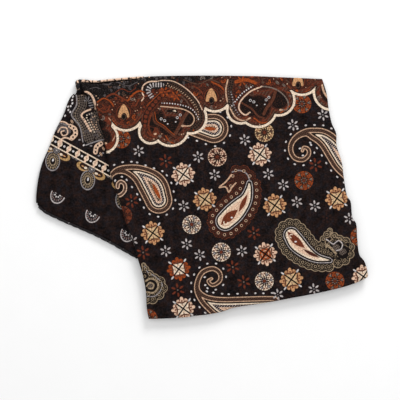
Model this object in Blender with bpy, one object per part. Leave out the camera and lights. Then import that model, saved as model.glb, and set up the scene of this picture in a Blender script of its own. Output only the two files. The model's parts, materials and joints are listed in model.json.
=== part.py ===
"""Folded neck scarf: a square of thin cloth, folded into a wide rectangle with a wing to the left.

Each stretch of cloth that shows is a closed wall that curls round at its folds. The scarf lies flat:
x runs to the right, y away from the viewer, z up, with the origin under the middle of its outline.
"""

import math

import bmesh
import bpy
from mathutils import Vector

MM = 0.001

# Heights above the surface that the scarf lies on, in millimetres.
GAP = 0.3
FRONT_WALL = 1.2
WING_WALL = 1.2
BACK_WALL = 1.0
BACK_TOP = 2.6
WING_TOP = 6.0
FRONT_BOTTOM = 6.6
FRONT_TOP = 10.2
HIDDEN_TOP = 8.2

# How far each fold's cloth runs back under itself, past its round edge.
FRONT_FLAP = 4.0
WING_FLAP = 4.4
BACK_FLAP = 4.0
FOLD_STEPS = 4

# The rolled hem along the lower side of the wing, and its puckers.
HEM_WIDTH = 2.6
HEM_HEIGHT = 1.6
PUCKER_PITCH = 8.0
PUCKER_DEPTH = 0.35
PUCKER_MEAN = 0.7
PUCKER_SWING = 0.3
PUCKER_RHYTHM = 0.37
HEM_START = 1.0
HEM_SHORT = 2.0
HEM_END_SIZE = 0.45
HEM_DROP_WIDTH = 9.0
ROLL_END_SIZE = 0.5

# How far the under layers keep inside the outline, and how far the wing's cloth is tucked in.
BACK_INSET = 1.2
TUCK_AT_TOP = 11.0
TUCK_AT_NOTCH = 4.0
TUCK_EASE = 0.25
TUCK_SHORT_OF_TOP = 22.0
WING_TUCK_ROOM = 14.0
WING_LOWER_INSET = 12.5
NECK_INSET = 7.0

# Segments along each side of an outline.
ACROSS = 26
DOWN = 28
LEFT_LOWER_STEPS = 8
HEM_STEPS = 16
WING_STEPS = 18
WING_ACROSS = 12
HEM_SEGMENTS = 56
HEM_SIDES = 8
HEM_PARTS = 4
ROLL_SEGMENTS = 30
ROLL_SIDES = 8
UNDER_STEPS = (ACROSS, DOWN, ACROSS, LEFT_LOWER_STEPS, HEM_STEPS, WING_STEPS)

# Columns over which the wing's creases fade towards the tuck, and the least room inside its fold.
CREASE_FADE = 4.0
LEAST_ROOM = 0.1

# Below this sine two edges count as running on in one line. Faces that meet at more than the angle are sharp.
NEARLY_STRAIGHT = 0.2
SHARP_ANGLE = 60.0

# Plan of each folded edge, clockwise as seen from above. Columns: x, y.
TOP_FOLD = (
    (-121.5, 115.5), (-110.0, 114.0), (-101.5, 114.0), (-86.0, 116.0), (-70.0, 117.5), (-59.0, 120.0),
    (-50.0, 121.7), (0.0, 122.5), (50.0, 122.0), (75.0, 121.0), (98.0, 120.0), (120.5, 119.0),
)
TOP_UNDER = (
    (-126.5, 120.0), (-118.0, 119.2), (-106.0, 118.2), (-94.0, 119.4), (-74.0, 121.0), (-62.0, 121.6),
    (-50.0, 122.2), (0.0, 122.5), (50.0, 122.0), (75.0, 121.0), (98.0, 120.0), (120.5, 119.0),
)
RIGHT_FOLD = (
    (120.5, 119.0), (125.0, 104.0), (127.0, 89.0), (130.0, 75.0), (134.5, 64.5), (135.0, 52.0),
    (140.0, 36.0), (142.0, 21.0), (145.0, 3.0), (149.0, -4.0), (150.5, -19.0), (154.5, -26.0),
    (155.5, -40.0), (157.5, -56.0), (163.0, -64.0), (166.25, -76.0), (165.5, -79.5),
)
BOTTOM_FOLD = (
    (165.5, -79.5), (154.0, -85.0), (138.0, -90.0), (114.0, -95.5), (90.0, -100.0), (66.0, -104.5),
    (42.0, -108.0), (30.0, -110.2), (20.0, -113.8), (6.0, -116.5), (-6.0, -117.8), (-18.0, -119.5),
    (-38.0, -120.6), (-53.0, -121.0),
)
BOTTOM_UNDER = (
    (165.5, -79.5), (154.0, -85.0), (138.0, -90.0), (114.0, -95.8), (90.0, -100.5), (66.0, -105.3),
    (42.0, -109.0), (30.0, -111.4), (20.0, -115.0), (6.0, -117.6), (-6.0, -118.9), (-18.0, -120.5),
    (-38.0, -121.6), (-53.5, -122.5),
)
LEFT_FOLD = (
    (-55.0, -110.0), (-56.0, -93.0), (-59.0, -77.0), (-63.0, -64.0), (-68.0, -46.0), (-74.0, -30.0),
    (-79.0, -14.0), (-83.0, 0.0), (-88.0, 14.0), (-92.0, 28.0), (-95.0, 43.0), (-98.0, 60.0),
    (-102.0, 78.0), (-106.0, 90.0), (-112.0, 101.0), (-118.0, 107.0),
)
LEFT_LOWER = ((-55.0, -110.0), (-56.0, -93.0), (-59.0, -77.0))
NOTCH = (-64.0, -62.0)
WING_HEM = (
    (-78.0, -54.0), (-94.0, -45.0), (-110.0, -37.0), (-126.0, -30.0), (-142.0, -23.0), (-158.0, -15.0),
)
WING_CORNER = (-166.25, -7.5)
WING_FOLD = (
    (-166.0, 3.0), (-164.0, 19.0), (-160.0, 35.0), (-153.0, 51.0), (-147.0, 67.0), (-139.0, 83.0),
    (-133.0, 99.0), (-127.0, 107.0),
)
WING_TOP_LEFT = (-128.5, 104.5)

# The under layer's rolled edge. Columns: x, y, radius.
EDGE_ROLL = (
    (-124.2, 108.6, 1.2), (-124.0, 112.0, 2.1), (-123.6, 116.4, 1.8), (-119.0, 117.4, 1.3),
    (-106.0, 116.8, 1.1), (-94.0, 118.0, 1.1), (-74.0, 119.9, 1.1), (-62.0, 120.9, 1.0),
    (-57.0, 121.2, 0.7),
)

# Soft ridges (rise above 0) and troughs of the front. Columns: x, y, turn, length, width, rise.
FRONT_CREASES = (
    (-2.0, -24.0, 86.0, 110.0, 11.0, 0.55),
    (20.0, -20.0, 82.0, 90.0, 10.0, -0.50),
    (52.0, 12.0, 97.0, 120.0, 12.0, 0.45),
    (96.0, -6.0, 84.0, 130.0, 13.0, -0.45),
    (120.0, 40.0, 15.0, 60.0, 10.0, 0.50),
    (134.0, -46.0, 12.0, 60.0, 11.0, -0.40),
    (-52.0, 40.0, 70.0, 110.0, 12.0, 0.45),
    (-36.0, -84.0, 96.0, 70.0, 11.0, -0.40),
    (30.0, 84.0, 4.0, 150.0, 12.0, -0.35),
)
WING_CREASES = (
    (-146.0, 14.0, 100.0, 70.0, 9.0, 0.35),
    (-122.0, 30.0, 98.0, 100.0, 9.0, 0.40),
    (-104.0, -8.0, 96.0, 60.0, 8.0, 0.30),
)

# Layers at the edges of the hidden folds. Columns: height, inset of the main sides.
LOWER_LAYERS = (
    (BACK_WALL + GAP, NECK_INSET),
    (BACK_TOP + GAP, NECK_INSET),
    (BACK_TOP + GAP, 3.2),
    (3.2, 2.0),
    (3.7, 1.5),
    (4.2, 2.0),
    (4.5, 3.4),
)
# A third column: how much further in, or out, at the left end of the lower side.
UPPER_LAYERS = (
    (4.5, 3.4, 0.0),
    (4.8, 1.9, -1.0),
    (5.4, 1.3, -1.0),
    (6.0, 1.9, -1.0),
    (6.3, 3.2, 0.0),
    (6.3, NECK_INSET, 2.5),
    (HIDDEN_TOP, NECK_INSET, 2.5),
)

# Share of an edge over which its inset eases from the start's to the end's.
WHOLE_EDGE = 1.0
TO_NOTCH = 0.22

DARK_CLOTH = (0.017, 0.014, 0.015)
RUST_CLOTH = (0.095, 0.038, 0.026)
PALE_REVERSE = (0.32, 0.22, 0.19)
CLOTH_ROUGHNESS = 0.85


def smoothstep(value):
    """Ease from 0 to 1."""
    value = min(max(value, 0.0), 1.0)
    return value * value * (3.0 - 2.0 * value)


class Edge:
    """A smooth edge line in plan, read by its length."""

    SUBSTEPS = 8

    def __init__(self, points):
        knots = [Vector(point) for point in points]
        ends = [2.0 * knots[0] - knots[1]] + knots + [2.0 * knots[-1] - knots[-2]]
        self.points = []
        for before, start, end, after in zip(ends, ends[1:], ends[2:], ends[3:]):
            for step in range(self.SUBSTEPS):
                t = step / self.SUBSTEPS
                self.points.append(0.5 * (
                    2.0 * start
                    + (end - before) * t
                    + (2.0 * before - 5.0 * start + 4.0 * end - after) * t * t
                    + (3.0 * start - before - 3.0 * end + after) * t ** 3
                ))
        self.points.append(knots[-1])
        self.lengths = [0.0]
        for start, end in zip(self.points, self.points[1:]):
            self.lengths.append(self.lengths[-1] + (end - start).length)
        self.length = self.lengths[-1]

    def at(self, distance):
        """Point and direction at a distance from the start; straight on past either end."""
        place = 0
        while place < len(self.points) - 2 and self.lengths[place + 1] < distance:
            place += 1
        start, end = self.points[place], self.points[place + 1]
        direction = (end - start).normalized()
        return start + direction * (distance - self.lengths[place]), direction


def inward(direction):
    """Unit vector into the cloth, for an outline that runs clockwise."""
    return Vector((direction.y, -direction.x))


def inset_corner(before, after, inset_before, inset_after):
    """Where the inset lines of two edges meet at the corner between them."""
    corner, heading = before.at(before.length)
    leaving = after.at(0.0)[1]
    first, second = inward(heading), inward(leaving)
    cross = first.x * second.y - first.y * second.x
    if abs(cross) < NEARLY_STRAIGHT:
        return corner + (first * inset_before + second * inset_after) / 2.0
    return corner + Vector((
        (inset_before * second.y - inset_after * first.y) / cross,
        (inset_after * first.x - inset_before * second.x) / cross,
    ))


def inset_ring(edges, steps, insets):
    """Closed ring of points inside an outline, the same count at every inset.

    Each edge's inset has its start's and its end's value, and the share of the edge between them.
    """
    count = len(edges)
    corners = [
        inset_corner(edges[k - 1], edges[k], insets[k - 1][1], insets[k][0]) for k in range(count)
    ]
    ring = []
    for k, edge in enumerate(edges):
        start, leaving = edge.at(0.0)
        end, heading = edge.at(edge.length)
        next_corner = corners[(k + 1) % count]
        first = (corners[k] - start).dot(leaving)
        last = edge.length + (next_corner - end).dot(heading)
        ring.append(corners[k])
        for step in range(1, steps[k]):
            share = step / steps[k]
            point, direction = edge.at(first + (last - first) * share)
            first_inset, last_inset, blend = insets[k]
            inset = first_inset + (last_inset - first_inset) * smoothstep(share / blend)
            ring.append(point + inward(direction) * inset)
    return ring


def even(inset, count):
    """The same inset along each of an outline's edges."""
    return [(inset, inset, WHOLE_EDGE)] * count


def relief(creases, x, y):
    """Height that the creases add at a place."""
    height = 0.0
    for centre_x, centre_y, turn, length, width, rise in creases:
        angle = math.radians(turn)
        along = (x - centre_x) * math.cos(angle) + (y - centre_y) * math.sin(angle)
        across = -(x - centre_x) * math.sin(angle) + (y - centre_y) * math.cos(angle)
        fade = smoothstep(1.0 - abs(along) / (length / 2.0))
        height += rise * fade * math.exp(-((across / width) ** 2))
    return height


def fill_grid(ring, across, down):
    """Rows of plan points that fill a ring of four sides."""
    top = ring[:across + 1]
    right = ring[across:across + down + 1]
    bottom = ring[across + down:2 * across + down + 1][::-1]
    left = (ring[2 * across + down:] + ring[:1])[::-1]
    rows = []
    for j in range(down + 1):
        v = j / down
        row = []
        for i in range(across + 1):
            u = i / across
            edges = top[i] * (1 - v) + bottom[i] * v + left[j] * (1 - u) + right[j] * u
            corners = (
                top[0] * (1 - u) * (1 - v) + top[-1] * u * (1 - v)
                + bottom[0] * (1 - u) * v + bottom[-1] * u * v
            )
            row.append(edges - corners)
        rows.append(row)
    return rows


def rim_places(across, down):
    """Grid places (row, column) round the rim, in the ring's order."""
    return (
        [(0, i) for i in range(across)]
        + [(j, across) for j in range(down)]
        + [(down, i) for i in range(across, 0, -1)]
        + [(j, 0) for j in range(down, 0, -1)]
    )


def half_round(steps):
    """Sines and cosines of a half circle from straight up, round to straight down."""
    angles = [math.pi / 2.0 - math.pi * step / steps for step in range(steps + 1)]
    return [(math.sin(angle), math.cos(angle)) for angle in angles]


class Shape:
    """Collects points and faces, in millimetres, and makes a closed object of them."""

    def __init__(self):
        self.mesh = bmesh.new()

    def points(self, places):
        """Add one vertex for each place."""
        return [self.mesh.verts.new(Vector(place) * MM) for place in places]

    def bridge(self, first, second, closed=True):
        """Faces between two rows of vertices of the same count."""
        count = len(first)
        for k in range(count if closed else count - 1):
            after = (k + 1) % count
            self.mesh.faces.new((first[k], first[after], second[after], second[k]))

    def grid(self, rows):
        """Faces of a grid of vertices."""
        for first, second in zip(rows, rows[1:]):
            self.bridge(first, second, closed=False)

    def cap(self, ring):
        """One flat face across a ring."""
        self.mesh.faces.new(ring)

    def finish(self, name, colour):
        """Make the named object, its faces turned outwards, with its material."""
        bmesh.ops.recalc_face_normals(self.mesh, faces=self.mesh.faces)
        data = bpy.data.meshes.new(name)
        self.mesh.to_mesh(data)
        self.mesh.free()
        data.shade_smooth()
        data.set_sharp_from_angle(angle=math.radians(SHARP_ANGLE))
        material = bpy.data.materials.new(name)
        material.use_nodes = True
        shader = material.node_tree.nodes["Principled BSDF"]
        shader.inputs["Base Color"].default_value = (*colour, 1.0)
        shader.inputs["Roughness"].default_value = CLOTH_ROUGHNESS
        shader.inputs["Metallic"].default_value = 0.0
        data.materials.append(material)
        piece = bpy.data.objects.new(name, data)
        bpy.context.scene.collection.objects.link(piece)
        return piece


def make_front():
    """Top stretch: a wall whose four sides curl under as folds."""
    edges = [
        Edge(TOP_FOLD), Edge(RIGHT_FOLD), Edge(BOTTOM_FOLD),
        Edge((BOTTOM_FOLD[-1],) + LEFT_FOLD + (TOP_FOLD[0],)),
    ]
    steps = (ACROSS, DOWN, ACROSS, DOWN)
    radius = (FRONT_TOP - FRONT_BOTTOM) / 2.0
    inner_radius = radius - FRONT_WALL
    plan = fill_grid(inset_ring(edges, steps, even(radius, 4)), ACROSS, DOWN)
    heights = [[FRONT_TOP + relief(FRONT_CREASES, *point) for point in row] for row in plan]
    rim = rim_places(ACROSS, DOWN)
    tops = [heights[j][i] for j, i in rim]

    shape = Shape()
    outer, inner = [
        [
            shape.points((*point, height - depth) for point, height in zip(row, levels))
            for row, levels in zip(plan, heights)
        ]
        for depth in (0.0, FRONT_WALL)
    ]
    shape.grid(outer)
    shape.grid(inner)
    last_rings = []
    for skin, reach, depth in ((outer, radius, 0.0), (inner, inner_radius, FRONT_WALL)):
        previous = [skin[j][i] for j, i in rim]
        low = FRONT_BOTTOM + depth
        for rise, run in half_round(FOLD_STEPS)[1:]:
            ring = inset_ring(edges, steps, even(radius - reach * run, 4))
            share = (rise + 1.0) / 2.0
            places = [(*p, low + (top - depth - low) * share) for p, top in zip(ring, tops)]
            current = shape.points(places)
            shape.bridge(previous, current)
            previous = current
        flap = inset_ring(edges, steps, even(radius + FRONT_FLAP, 4))
        current = shape.points((*point, low) for point in flap)
        shape.bridge(previous, current)
        last_rings.append(current)
    shape.bridge(*last_rings)
    return shape.finish("front_stretch", RUST_CLOTH)


def wing_height(point, hem_line):
    """Height of the wing's upper face, which falls to the hem."""
    to_hem = min((point - place).length for place in hem_line)
    drop = WING_TOP - (BACK_TOP + GAP + WING_WALL)
    return WING_TOP - drop * smoothstep(1.0 - to_hem / HEM_DROP_WIDTH)


def make_wing():
    """Left stretch: a wall folded under along its left side, tucked in at its right."""
    radius = (WING_TOP - BACK_TOP - GAP) / 2.0
    inner_radius = radius - WING_WALL
    fold = Edge((WING_CORNER,) + WING_FOLD[:-1] + (WING_TOP_LEFT,))
    hem = Edge((NOTCH,) + WING_HEM + (WING_CORNER,))
    main_left = Edge((BOTTOM_FOLD[-1],) + LEFT_FOLD + (TOP_FOLD[0],))
    hem_inset = HEM_WIDTH + GAP

    notch_distance = min(
        (main_left.lengths[k] for k in range(len(main_left.points))),
        key=lambda distance: (main_left.at(distance)[0] - Vector(NOTCH)).length,
    )
    top_distance = main_left.length - TUCK_SHORT_OF_TOP
    tucked = []
    for step in range(WING_STEPS + 1):
        share = step / WING_STEPS
        point, direction = main_left.at(notch_distance + (top_distance - notch_distance) * share)
        tuck = TUCK_AT_NOTCH + (TUCK_AT_TOP - TUCK_AT_NOTCH) * smoothstep(share / TUCK_EASE)
        tucked.append(point + inward(direction) * tuck)

    low_corner = inset_corner(hem, fold, hem_inset, radius)
    fold_start = (low_corner - fold.at(0.0)[0]).dot(fold.at(0.0)[1])
    folded = []
    for step in range(WING_STEPS + 1):
        point, direction = fold.at(fold_start + (fold.length - fold_start) * step / WING_STEPS)
        folded.append((point, inward(direction)))

    hem_start = -TUCK_AT_NOTCH
    hem_end = hem.length + (low_corner - hem.at(hem.length)[0]).dot(hem.at(hem.length)[1])
    hem_line = []
    for step in range(WING_ACROSS + 1):
        point, direction = hem.at(hem_end + (hem_start - hem_end) * step / WING_ACROSS)
        hem_line.append(point + inward(direction) * hem_inset)
    hem_line[0] = folded[0][0] + folded[0][1] * radius
    tucked[0] = hem_line[-1]

    top_line = [
        (folded[-1][0] + folded[-1][1] * radius).lerp(tucked[-1], step / WING_ACROSS)
        for step in range(WING_ACROSS + 1)
    ]
    ring = (
        top_line[:-1] + tucked[:0:-1] + hem_line[:0:-1]
        + [point + normal * radius for point, normal in folded[:-1]]
    )
    plan = fill_grid(ring, WING_ACROSS, WING_STEPS)
    close_hem = [
        hem_line[k].lerp(hem_line[k + 1], part / HEM_PARTS)
        for k in range(WING_ACROSS) for part in range(HEM_PARTS)
    ]

    rows = []
    for j, row in enumerate(plan):
        point, normal = folded[WING_STEPS - j]
        top = wing_height(row[0], close_hem)
        low = BACK_TOP + GAP
        outer = [(*(point + normal * (radius + WING_FLAP)), low)]
        inner = [(*(point + normal * (radius + WING_FLAP)), low + WING_WALL)]
        for rise, run in half_round(FOLD_STEPS)[:0:-1]:
            share = (rise + 1.0) / 2.0
            outer.append((*(point + normal * (radius - radius * run)), low + (top - low) * share))
            inner_low = low + WING_WALL
            inner_top = max(top - WING_WALL, inner_low + LEAST_ROOM)
            inner.append((
                *(point + normal * (radius - inner_radius * run)),
                inner_low + (inner_top - inner_low) * share,
            ))
        for i, place in enumerate(row):
            fade = smoothstep((WING_ACROSS - i) / CREASE_FADE)
            height = wing_height(place, close_hem) + relief(WING_CREASES, *place) * fade
            outer.append((*place, height))
            inner.append((*place, height - WING_WALL))
        rows.append((outer, inner))

    shape = Shape()
    outer_rows = [shape.points(outer) for outer, _ in rows]
    inner_rows = [shape.points(inner) for _, inner in rows]
    shape.grid(outer_rows)
    shape.grid(inner_rows)
    shape.bridge(outer_rows[0], inner_rows[0], closed=False)
    shape.bridge(outer_rows[-1], inner_rows[-1], closed=False)
    shape.bridge([row[0] for row in outer_rows], [row[0] for row in inner_rows], closed=False)
    shape.bridge([row[-1] for row in outer_rows], [row[-1] for row in inner_rows], closed=False)
    return shape.finish("left_stretch", DARK_CLOTH)


def tube(shape, sections):
    """Closed tube through sections, each a list of the same count of places."""
    rings = [shape.points(section) for section in sections]
    for first, second in zip(rings, rings[1:]):
        shape.bridge(first, second)
    shape.cap(rings[0])
    shape.cap(rings[-1])


def make_hem():
    """Rolled hem along the wing's lower side, its outer half puckered."""
    edge = Edge((NOTCH,) + WING_HEM + (WING_CORNER,))
    middle = BACK_TOP + GAP + HEM_HEIGHT / 2.0
    sections = []
    for step in range(HEM_SEGMENTS + 1):
        distance = HEM_START + (edge.length - HEM_START - HEM_SHORT) * step / HEM_SEGMENTS
        point, direction = edge.at(distance)
        side = inward(direction)
        phase = 2.0 * math.pi * distance / PUCKER_PITCH
        depth = PUCKER_DEPTH * (PUCKER_MEAN + PUCKER_SWING * math.sin(phase * PUCKER_RHYTHM))
        pucker = depth * (1.0 - math.cos(phase)) / 2.0
        size = HEM_END_SIZE if step in (0, HEM_SEGMENTS) else 1.0
        section = []
        for k in range(HEM_SIDES):
            angle = 2.0 * math.pi * k / HEM_SIDES
            run = math.cos(angle) * HEM_WIDTH / 2.0 * size
            if run < 0.0:
                run += pucker * -math.cos(angle)
            place = point + side * (HEM_WIDTH / 2.0 + run)
            section.append((*place, middle + math.sin(angle) * HEM_HEIGHT / 2.0 * size))
        sections.append(section)
    shape = Shape()
    tube(shape, sections)
    return shape.finish("left_hem", DARK_CLOTH)


def make_edge_roll():
    """Rolled edge of an under layer, with its knob at the corner."""
    edge = Edge([row[:2] for row in EDGE_ROLL])
    radii = [row[2] for row in EDGE_ROLL]
    knots = [edge.lengths[k * Edge.SUBSTEPS] for k in range(len(EDGE_ROLL))]
    sections = []
    for step in range(ROLL_SEGMENTS + 1):
        distance = edge.length * step / ROLL_SEGMENTS
        place = max(k for k in range(len(knots) - 1) if knots[k] <= distance)
        share = smoothstep((distance - knots[place]) / (knots[place + 1] - knots[place]))
        radius = radii[place] + (radii[place + 1] - radii[place]) * share
        if step in (0, ROLL_SEGMENTS):
            radius *= ROLL_END_SIZE
        point, direction = edge.at(distance)
        side = inward(direction)
        section = []
        for k in range(ROLL_SIDES):
            angle = 2.0 * math.pi * k / ROLL_SIDES
            centre_height = BACK_TOP + GAP + radius
            section.append((
                *(point + side * math.cos(angle) * radius),
                centre_height + math.sin(angle) * radius,
            ))
        sections.append(section)
    shape = Shape()
    tube(shape, sections)
    return shape.finish("back_edge_roll", PALE_REVERSE)


def under_edges(top, bottom):
    """Edges of the whole outline, wing and all."""
    return [
        Edge(top), Edge(RIGHT_FOLD), Edge(bottom), Edge((bottom[-1],) + LEFT_LOWER + (NOTCH,)),
        Edge((NOTCH,) + WING_HEM + (WING_CORNER,)), Edge((WING_CORNER,) + WING_FOLD + (top[0],)),
    ]


def make_back():
    """Bottom stretch: flat underneath, its edge curled up and over all round."""
    edges = under_edges(TOP_UNDER, BOTTOM_UNDER)
    radius = BACK_TOP / 2.0
    inner_radius = radius - BACK_WALL
    levels = [
        (BACK_INSET + radius - radius * run, radius - radius * rise)
        for rise, run in half_round(FOLD_STEPS)
    ]
    levels.append((BACK_INSET + radius + BACK_FLAP, BACK_TOP))
    levels.append((BACK_INSET + radius + BACK_FLAP, BACK_TOP - BACK_WALL))
    levels += [
        (BACK_INSET + radius - inner_radius * run, radius + inner_radius * rise)
        for rise, run in half_round(FOLD_STEPS // 2)
    ]
    shape = Shape()
    rings = [
        shape.points((*point, height) for point in inset_ring(edges, UNDER_STEPS, even(inset, 6)))
        for inset, height in levels
    ]
    for first, second in zip(rings, rings[1:]):
        shape.bridge(first, second)
    shape.cap(rings[0])
    shape.cap(rings[-1])
    return shape.finish("back_stretch", DARK_CLOTH)


def make_hidden():
    """The layers between, one solid with a round edge for each fold."""
    lower = under_edges(TOP_FOLD, BOTTOM_UNDER)
    left_steps = LEFT_LOWER_STEPS + HEM_STEPS + WING_STEPS
    upper = [
        Edge(TOP_FOLD), Edge(RIGHT_FOLD), Edge(BOTTOM_UNDER),
        Edge((BOTTOM_UNDER[-1],) + LEFT_FOLD + (TOP_FOLD[0],)),
    ]
    shape = Shape()
    rings = []
    for height, inset in LOWER_LAYERS:
        insets = even(inset, 3) + [(inset, WING_LOWER_INSET, WHOLE_EDGE)] + even(WING_LOWER_INSET, 2)
        ring = inset_ring(lower, UNDER_STEPS, insets)
        rings.append(shape.points((*point, height) for point in ring))
    for height, inset, further in UPPER_LAYERS:
        bottom = (inset, inset + further, WHOLE_EDGE)
        insets = even(inset, 2) + [bottom, (inset, WING_TUCK_ROOM, TO_NOTCH)]
        ring = inset_ring(upper, (ACROSS, DOWN, ACROSS, left_steps), insets)
        rings.append(shape.points((*point, height) for point in ring))
    for first, second in zip(rings, rings[1:]):
        shape.bridge(first, second)
    shape.cap(rings[0])
    shape.cap(rings[-1])
    return shape.finish("hidden_folds", DARK_CLOTH)


def main():
    """Make the scarf."""
    for old in list(bpy.data.objects):
        bpy.data.objects.remove(old)
    make_back()
    make_hidden()
    make_wing()
    make_hem()
    make_edge_roll()
    make_front()


main()
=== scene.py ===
"""Folded neck scarf: the looks of a square of thin printed cloth that lies flat in layers.

Sizes are in millimetres and become metres when a mesh is made. In plan, x runs to the right and y away
from the viewer, with the origin under the middle of the scarf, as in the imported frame. A place on the
cloth is given where it lies in plan, and runs on past the outline round each fold.
"""

import json
import logging
import math
from collections.abc import Sequence
from dataclasses import dataclass
from enum import Enum
from functools import reduce

import bpy
import numpy as np
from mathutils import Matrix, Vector

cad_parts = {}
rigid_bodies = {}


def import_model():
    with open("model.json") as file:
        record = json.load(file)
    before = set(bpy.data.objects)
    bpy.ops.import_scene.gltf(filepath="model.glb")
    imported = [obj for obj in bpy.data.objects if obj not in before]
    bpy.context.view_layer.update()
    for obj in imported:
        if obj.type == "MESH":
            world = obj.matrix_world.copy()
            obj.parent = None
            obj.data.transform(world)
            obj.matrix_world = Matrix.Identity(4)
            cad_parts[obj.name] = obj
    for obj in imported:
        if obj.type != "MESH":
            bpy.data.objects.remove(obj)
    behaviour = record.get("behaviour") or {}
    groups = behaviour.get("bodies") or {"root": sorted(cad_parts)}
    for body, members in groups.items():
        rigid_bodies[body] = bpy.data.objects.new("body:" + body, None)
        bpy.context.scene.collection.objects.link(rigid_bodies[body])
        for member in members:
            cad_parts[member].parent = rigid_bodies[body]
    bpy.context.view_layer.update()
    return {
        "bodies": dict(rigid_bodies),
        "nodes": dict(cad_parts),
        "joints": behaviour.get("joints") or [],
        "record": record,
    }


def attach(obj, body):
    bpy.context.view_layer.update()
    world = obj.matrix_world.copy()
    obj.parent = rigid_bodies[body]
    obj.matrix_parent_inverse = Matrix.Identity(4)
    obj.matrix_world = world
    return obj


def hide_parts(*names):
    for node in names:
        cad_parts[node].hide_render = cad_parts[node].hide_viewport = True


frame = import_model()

MM = 0.001
Places = Sequence[tuple[float, ...]]
Colour = tuple[float, float, float, float]
Socket = bpy.types.NodeSocket
log = logging.getLogger("scarf")

# Heights above the surface that the scarf lies on.
BACK_TOP = 2.6
UNDER_WING = 2.9
WING_TOP = 6.0
UNDER_FRONT = 6.6
FRONT_TOP = 10.2

# Plan of each folded edge, clockwise as seen from above. Columns: x, y.
TOP_FOLD = (
    (-121.5, 115.5), (-110.0, 114.0), (-101.5, 114.0), (-86.0, 116.0), (-70.0, 117.5), (-59.0, 120.0),
    (-50.0, 121.7), (0.0, 122.5), (50.0, 122.0), (75.0, 121.0), (98.0, 120.0), (120.5, 119.0),
)
TOP_UNDER = (
    (-126.5, 120.0), (-118.0, 119.2), (-106.0, 118.2), (-94.0, 119.4), (-74.0, 121.0), (-62.0, 121.6),
    (-50.0, 122.2), (0.0, 122.5), (50.0, 122.0), (75.0, 121.0), (98.0, 120.0), (120.5, 119.0),
)
RIGHT_FOLD = (
    (120.5, 119.0), (125.0, 104.0), (127.0, 89.0), (130.0, 75.0), (134.5, 64.5), (135.0, 52.0),
    (140.0, 36.0), (142.0, 21.0), (145.0, 3.0), (149.0, -4.0), (150.5, -19.0), (154.5, -26.0),
    (155.5, -40.0), (157.5, -56.0), (163.0, -64.0), (166.25, -76.0), (165.5, -79.5),
)
BOTTOM_FOLD = (
    (165.5, -79.5), (154.0, -85.0), (138.0, -90.0), (114.0, -95.5), (90.0, -100.0), (66.0, -104.5),
    (42.0, -108.0), (30.0, -110.2), (20.0, -113.8), (6.0, -116.5), (-6.0, -117.8), (-18.0, -119.5),
    (-38.0, -120.6), (-53.0, -121.0),
)
BOTTOM_UNDER = (
    (165.5, -79.5), (154.0, -85.0), (138.0, -90.0), (114.0, -95.8), (90.0, -100.5), (66.0, -105.3),
    (42.0, -109.0), (30.0, -111.4), (20.0, -115.0), (6.0, -117.6), (-6.0, -118.9), (-18.0, -120.5),
    (-38.0, -121.6), (-53.5, -122.5),
)
LEFT_FOLD = (
    (-55.0, -110.0), (-56.0, -93.0), (-59.0, -77.0), (-63.0, -64.0), (-68.0, -46.0), (-74.0, -30.0),
    (-79.0, -14.0), (-83.0, 0.0), (-88.0, 14.0), (-92.0, 28.0), (-95.0, 43.0), (-98.0, 60.0),
    (-102.0, 78.0), (-106.0, 90.0), (-112.0, 101.0), (-118.0, 107.0),
)
LEFT_LOWER = ((-55.0, -110.0), (-56.0, -93.0), (-59.0, -77.0))
NOTCH = (-64.0, -62.0)
WING_HEM = (
    (-78.0, -54.0), (-94.0, -45.0), (-110.0, -37.0), (-126.0, -30.0), (-142.0, -23.0), (-158.0, -15.0),
)
WING_CORNER = (-166.25, -7.5)
HEM_EDGE = (NOTCH,) + WING_HEM + (WING_CORNER,)
WING_FOLD = (
    (-166.0, 3.0), (-164.0, 19.0), (-160.0, 35.0), (-153.0, 51.0), (-147.0, 67.0), (-139.0, 83.0),
    (-133.0, 99.0), (-127.0, 107.0),
)
WING_TOP_LEFT = (-128.5, 104.5)

# The under layer's rolled edge. Columns: x, y, radius.
EDGE_ROLL = (
    (-124.2, 108.0, 1.3), (-124.0, 111.6, 2.4), (-123.8, 115.8, 2.5), (-119.4, 117.4, 1.5),
    (-106.0, 116.8, 1.1), (-94.0, 118.0, 1.1), (-74.0, 119.9, 1.1), (-62.0, 120.9, 1.0),
    (-57.0, 121.2, 0.7),
)

# Soft ridges (rise above 0) and troughs. Columns: x, y, turn, length, width, rise.
FRONT_CREASES = (
    (-2.0, -24.0, 86.0, 110.0, 11.0, 0.55),
    (20.0, -20.0, 82.0, 90.0, 10.0, -0.50),
    (52.0, 12.0, 97.0, 120.0, 12.0, 0.45),
    (96.0, -6.0, 84.0, 130.0, 13.0, -0.45),
    (120.0, 40.0, 15.0, 60.0, 10.0, 0.50),
    (134.0, -46.0, 12.0, 60.0, 11.0, -0.40),
    (-52.0, 40.0, 70.0, 110.0, 12.0, 0.45),
    (-36.0, -84.0, 96.0, 70.0, 11.0, -0.40),
    (30.0, 84.0, 4.0, 150.0, 12.0, -0.35),
    (-4.0, -30.0, 88.0, 70.0, 3.0, 0.22),
    (12.0, -24.0, 85.0, 60.0, 2.6, -0.20),
    (28.0, -34.0, 93.0, 80.0, 3.2, 0.18),
    (112.0, -30.0, 78.0, 60.0, 3.4, 0.20),
    (146.0, -58.0, 60.0, 40.0, 3.0, -0.22),
    (-70.0, 8.0, 106.0, 50.0, 2.8, -0.20),
)
WING_CREASES = (
    (-146.0, 14.0, 100.0, 70.0, 9.0, 0.35),
    (-122.0, 30.0, 98.0, 100.0, 9.0, 0.40),
    (-104.0, -8.0, 96.0, 60.0, 8.0, 0.30),
    (-136.0, 4.0, 97.0, 60.0, 3.0, -0.20),
    (-112.0, 0.0, 94.0, 66.0, 2.8, 0.20),
    (-92.0, -20.0, 92.0, 40.0, 2.6, -0.16),
)

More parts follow.
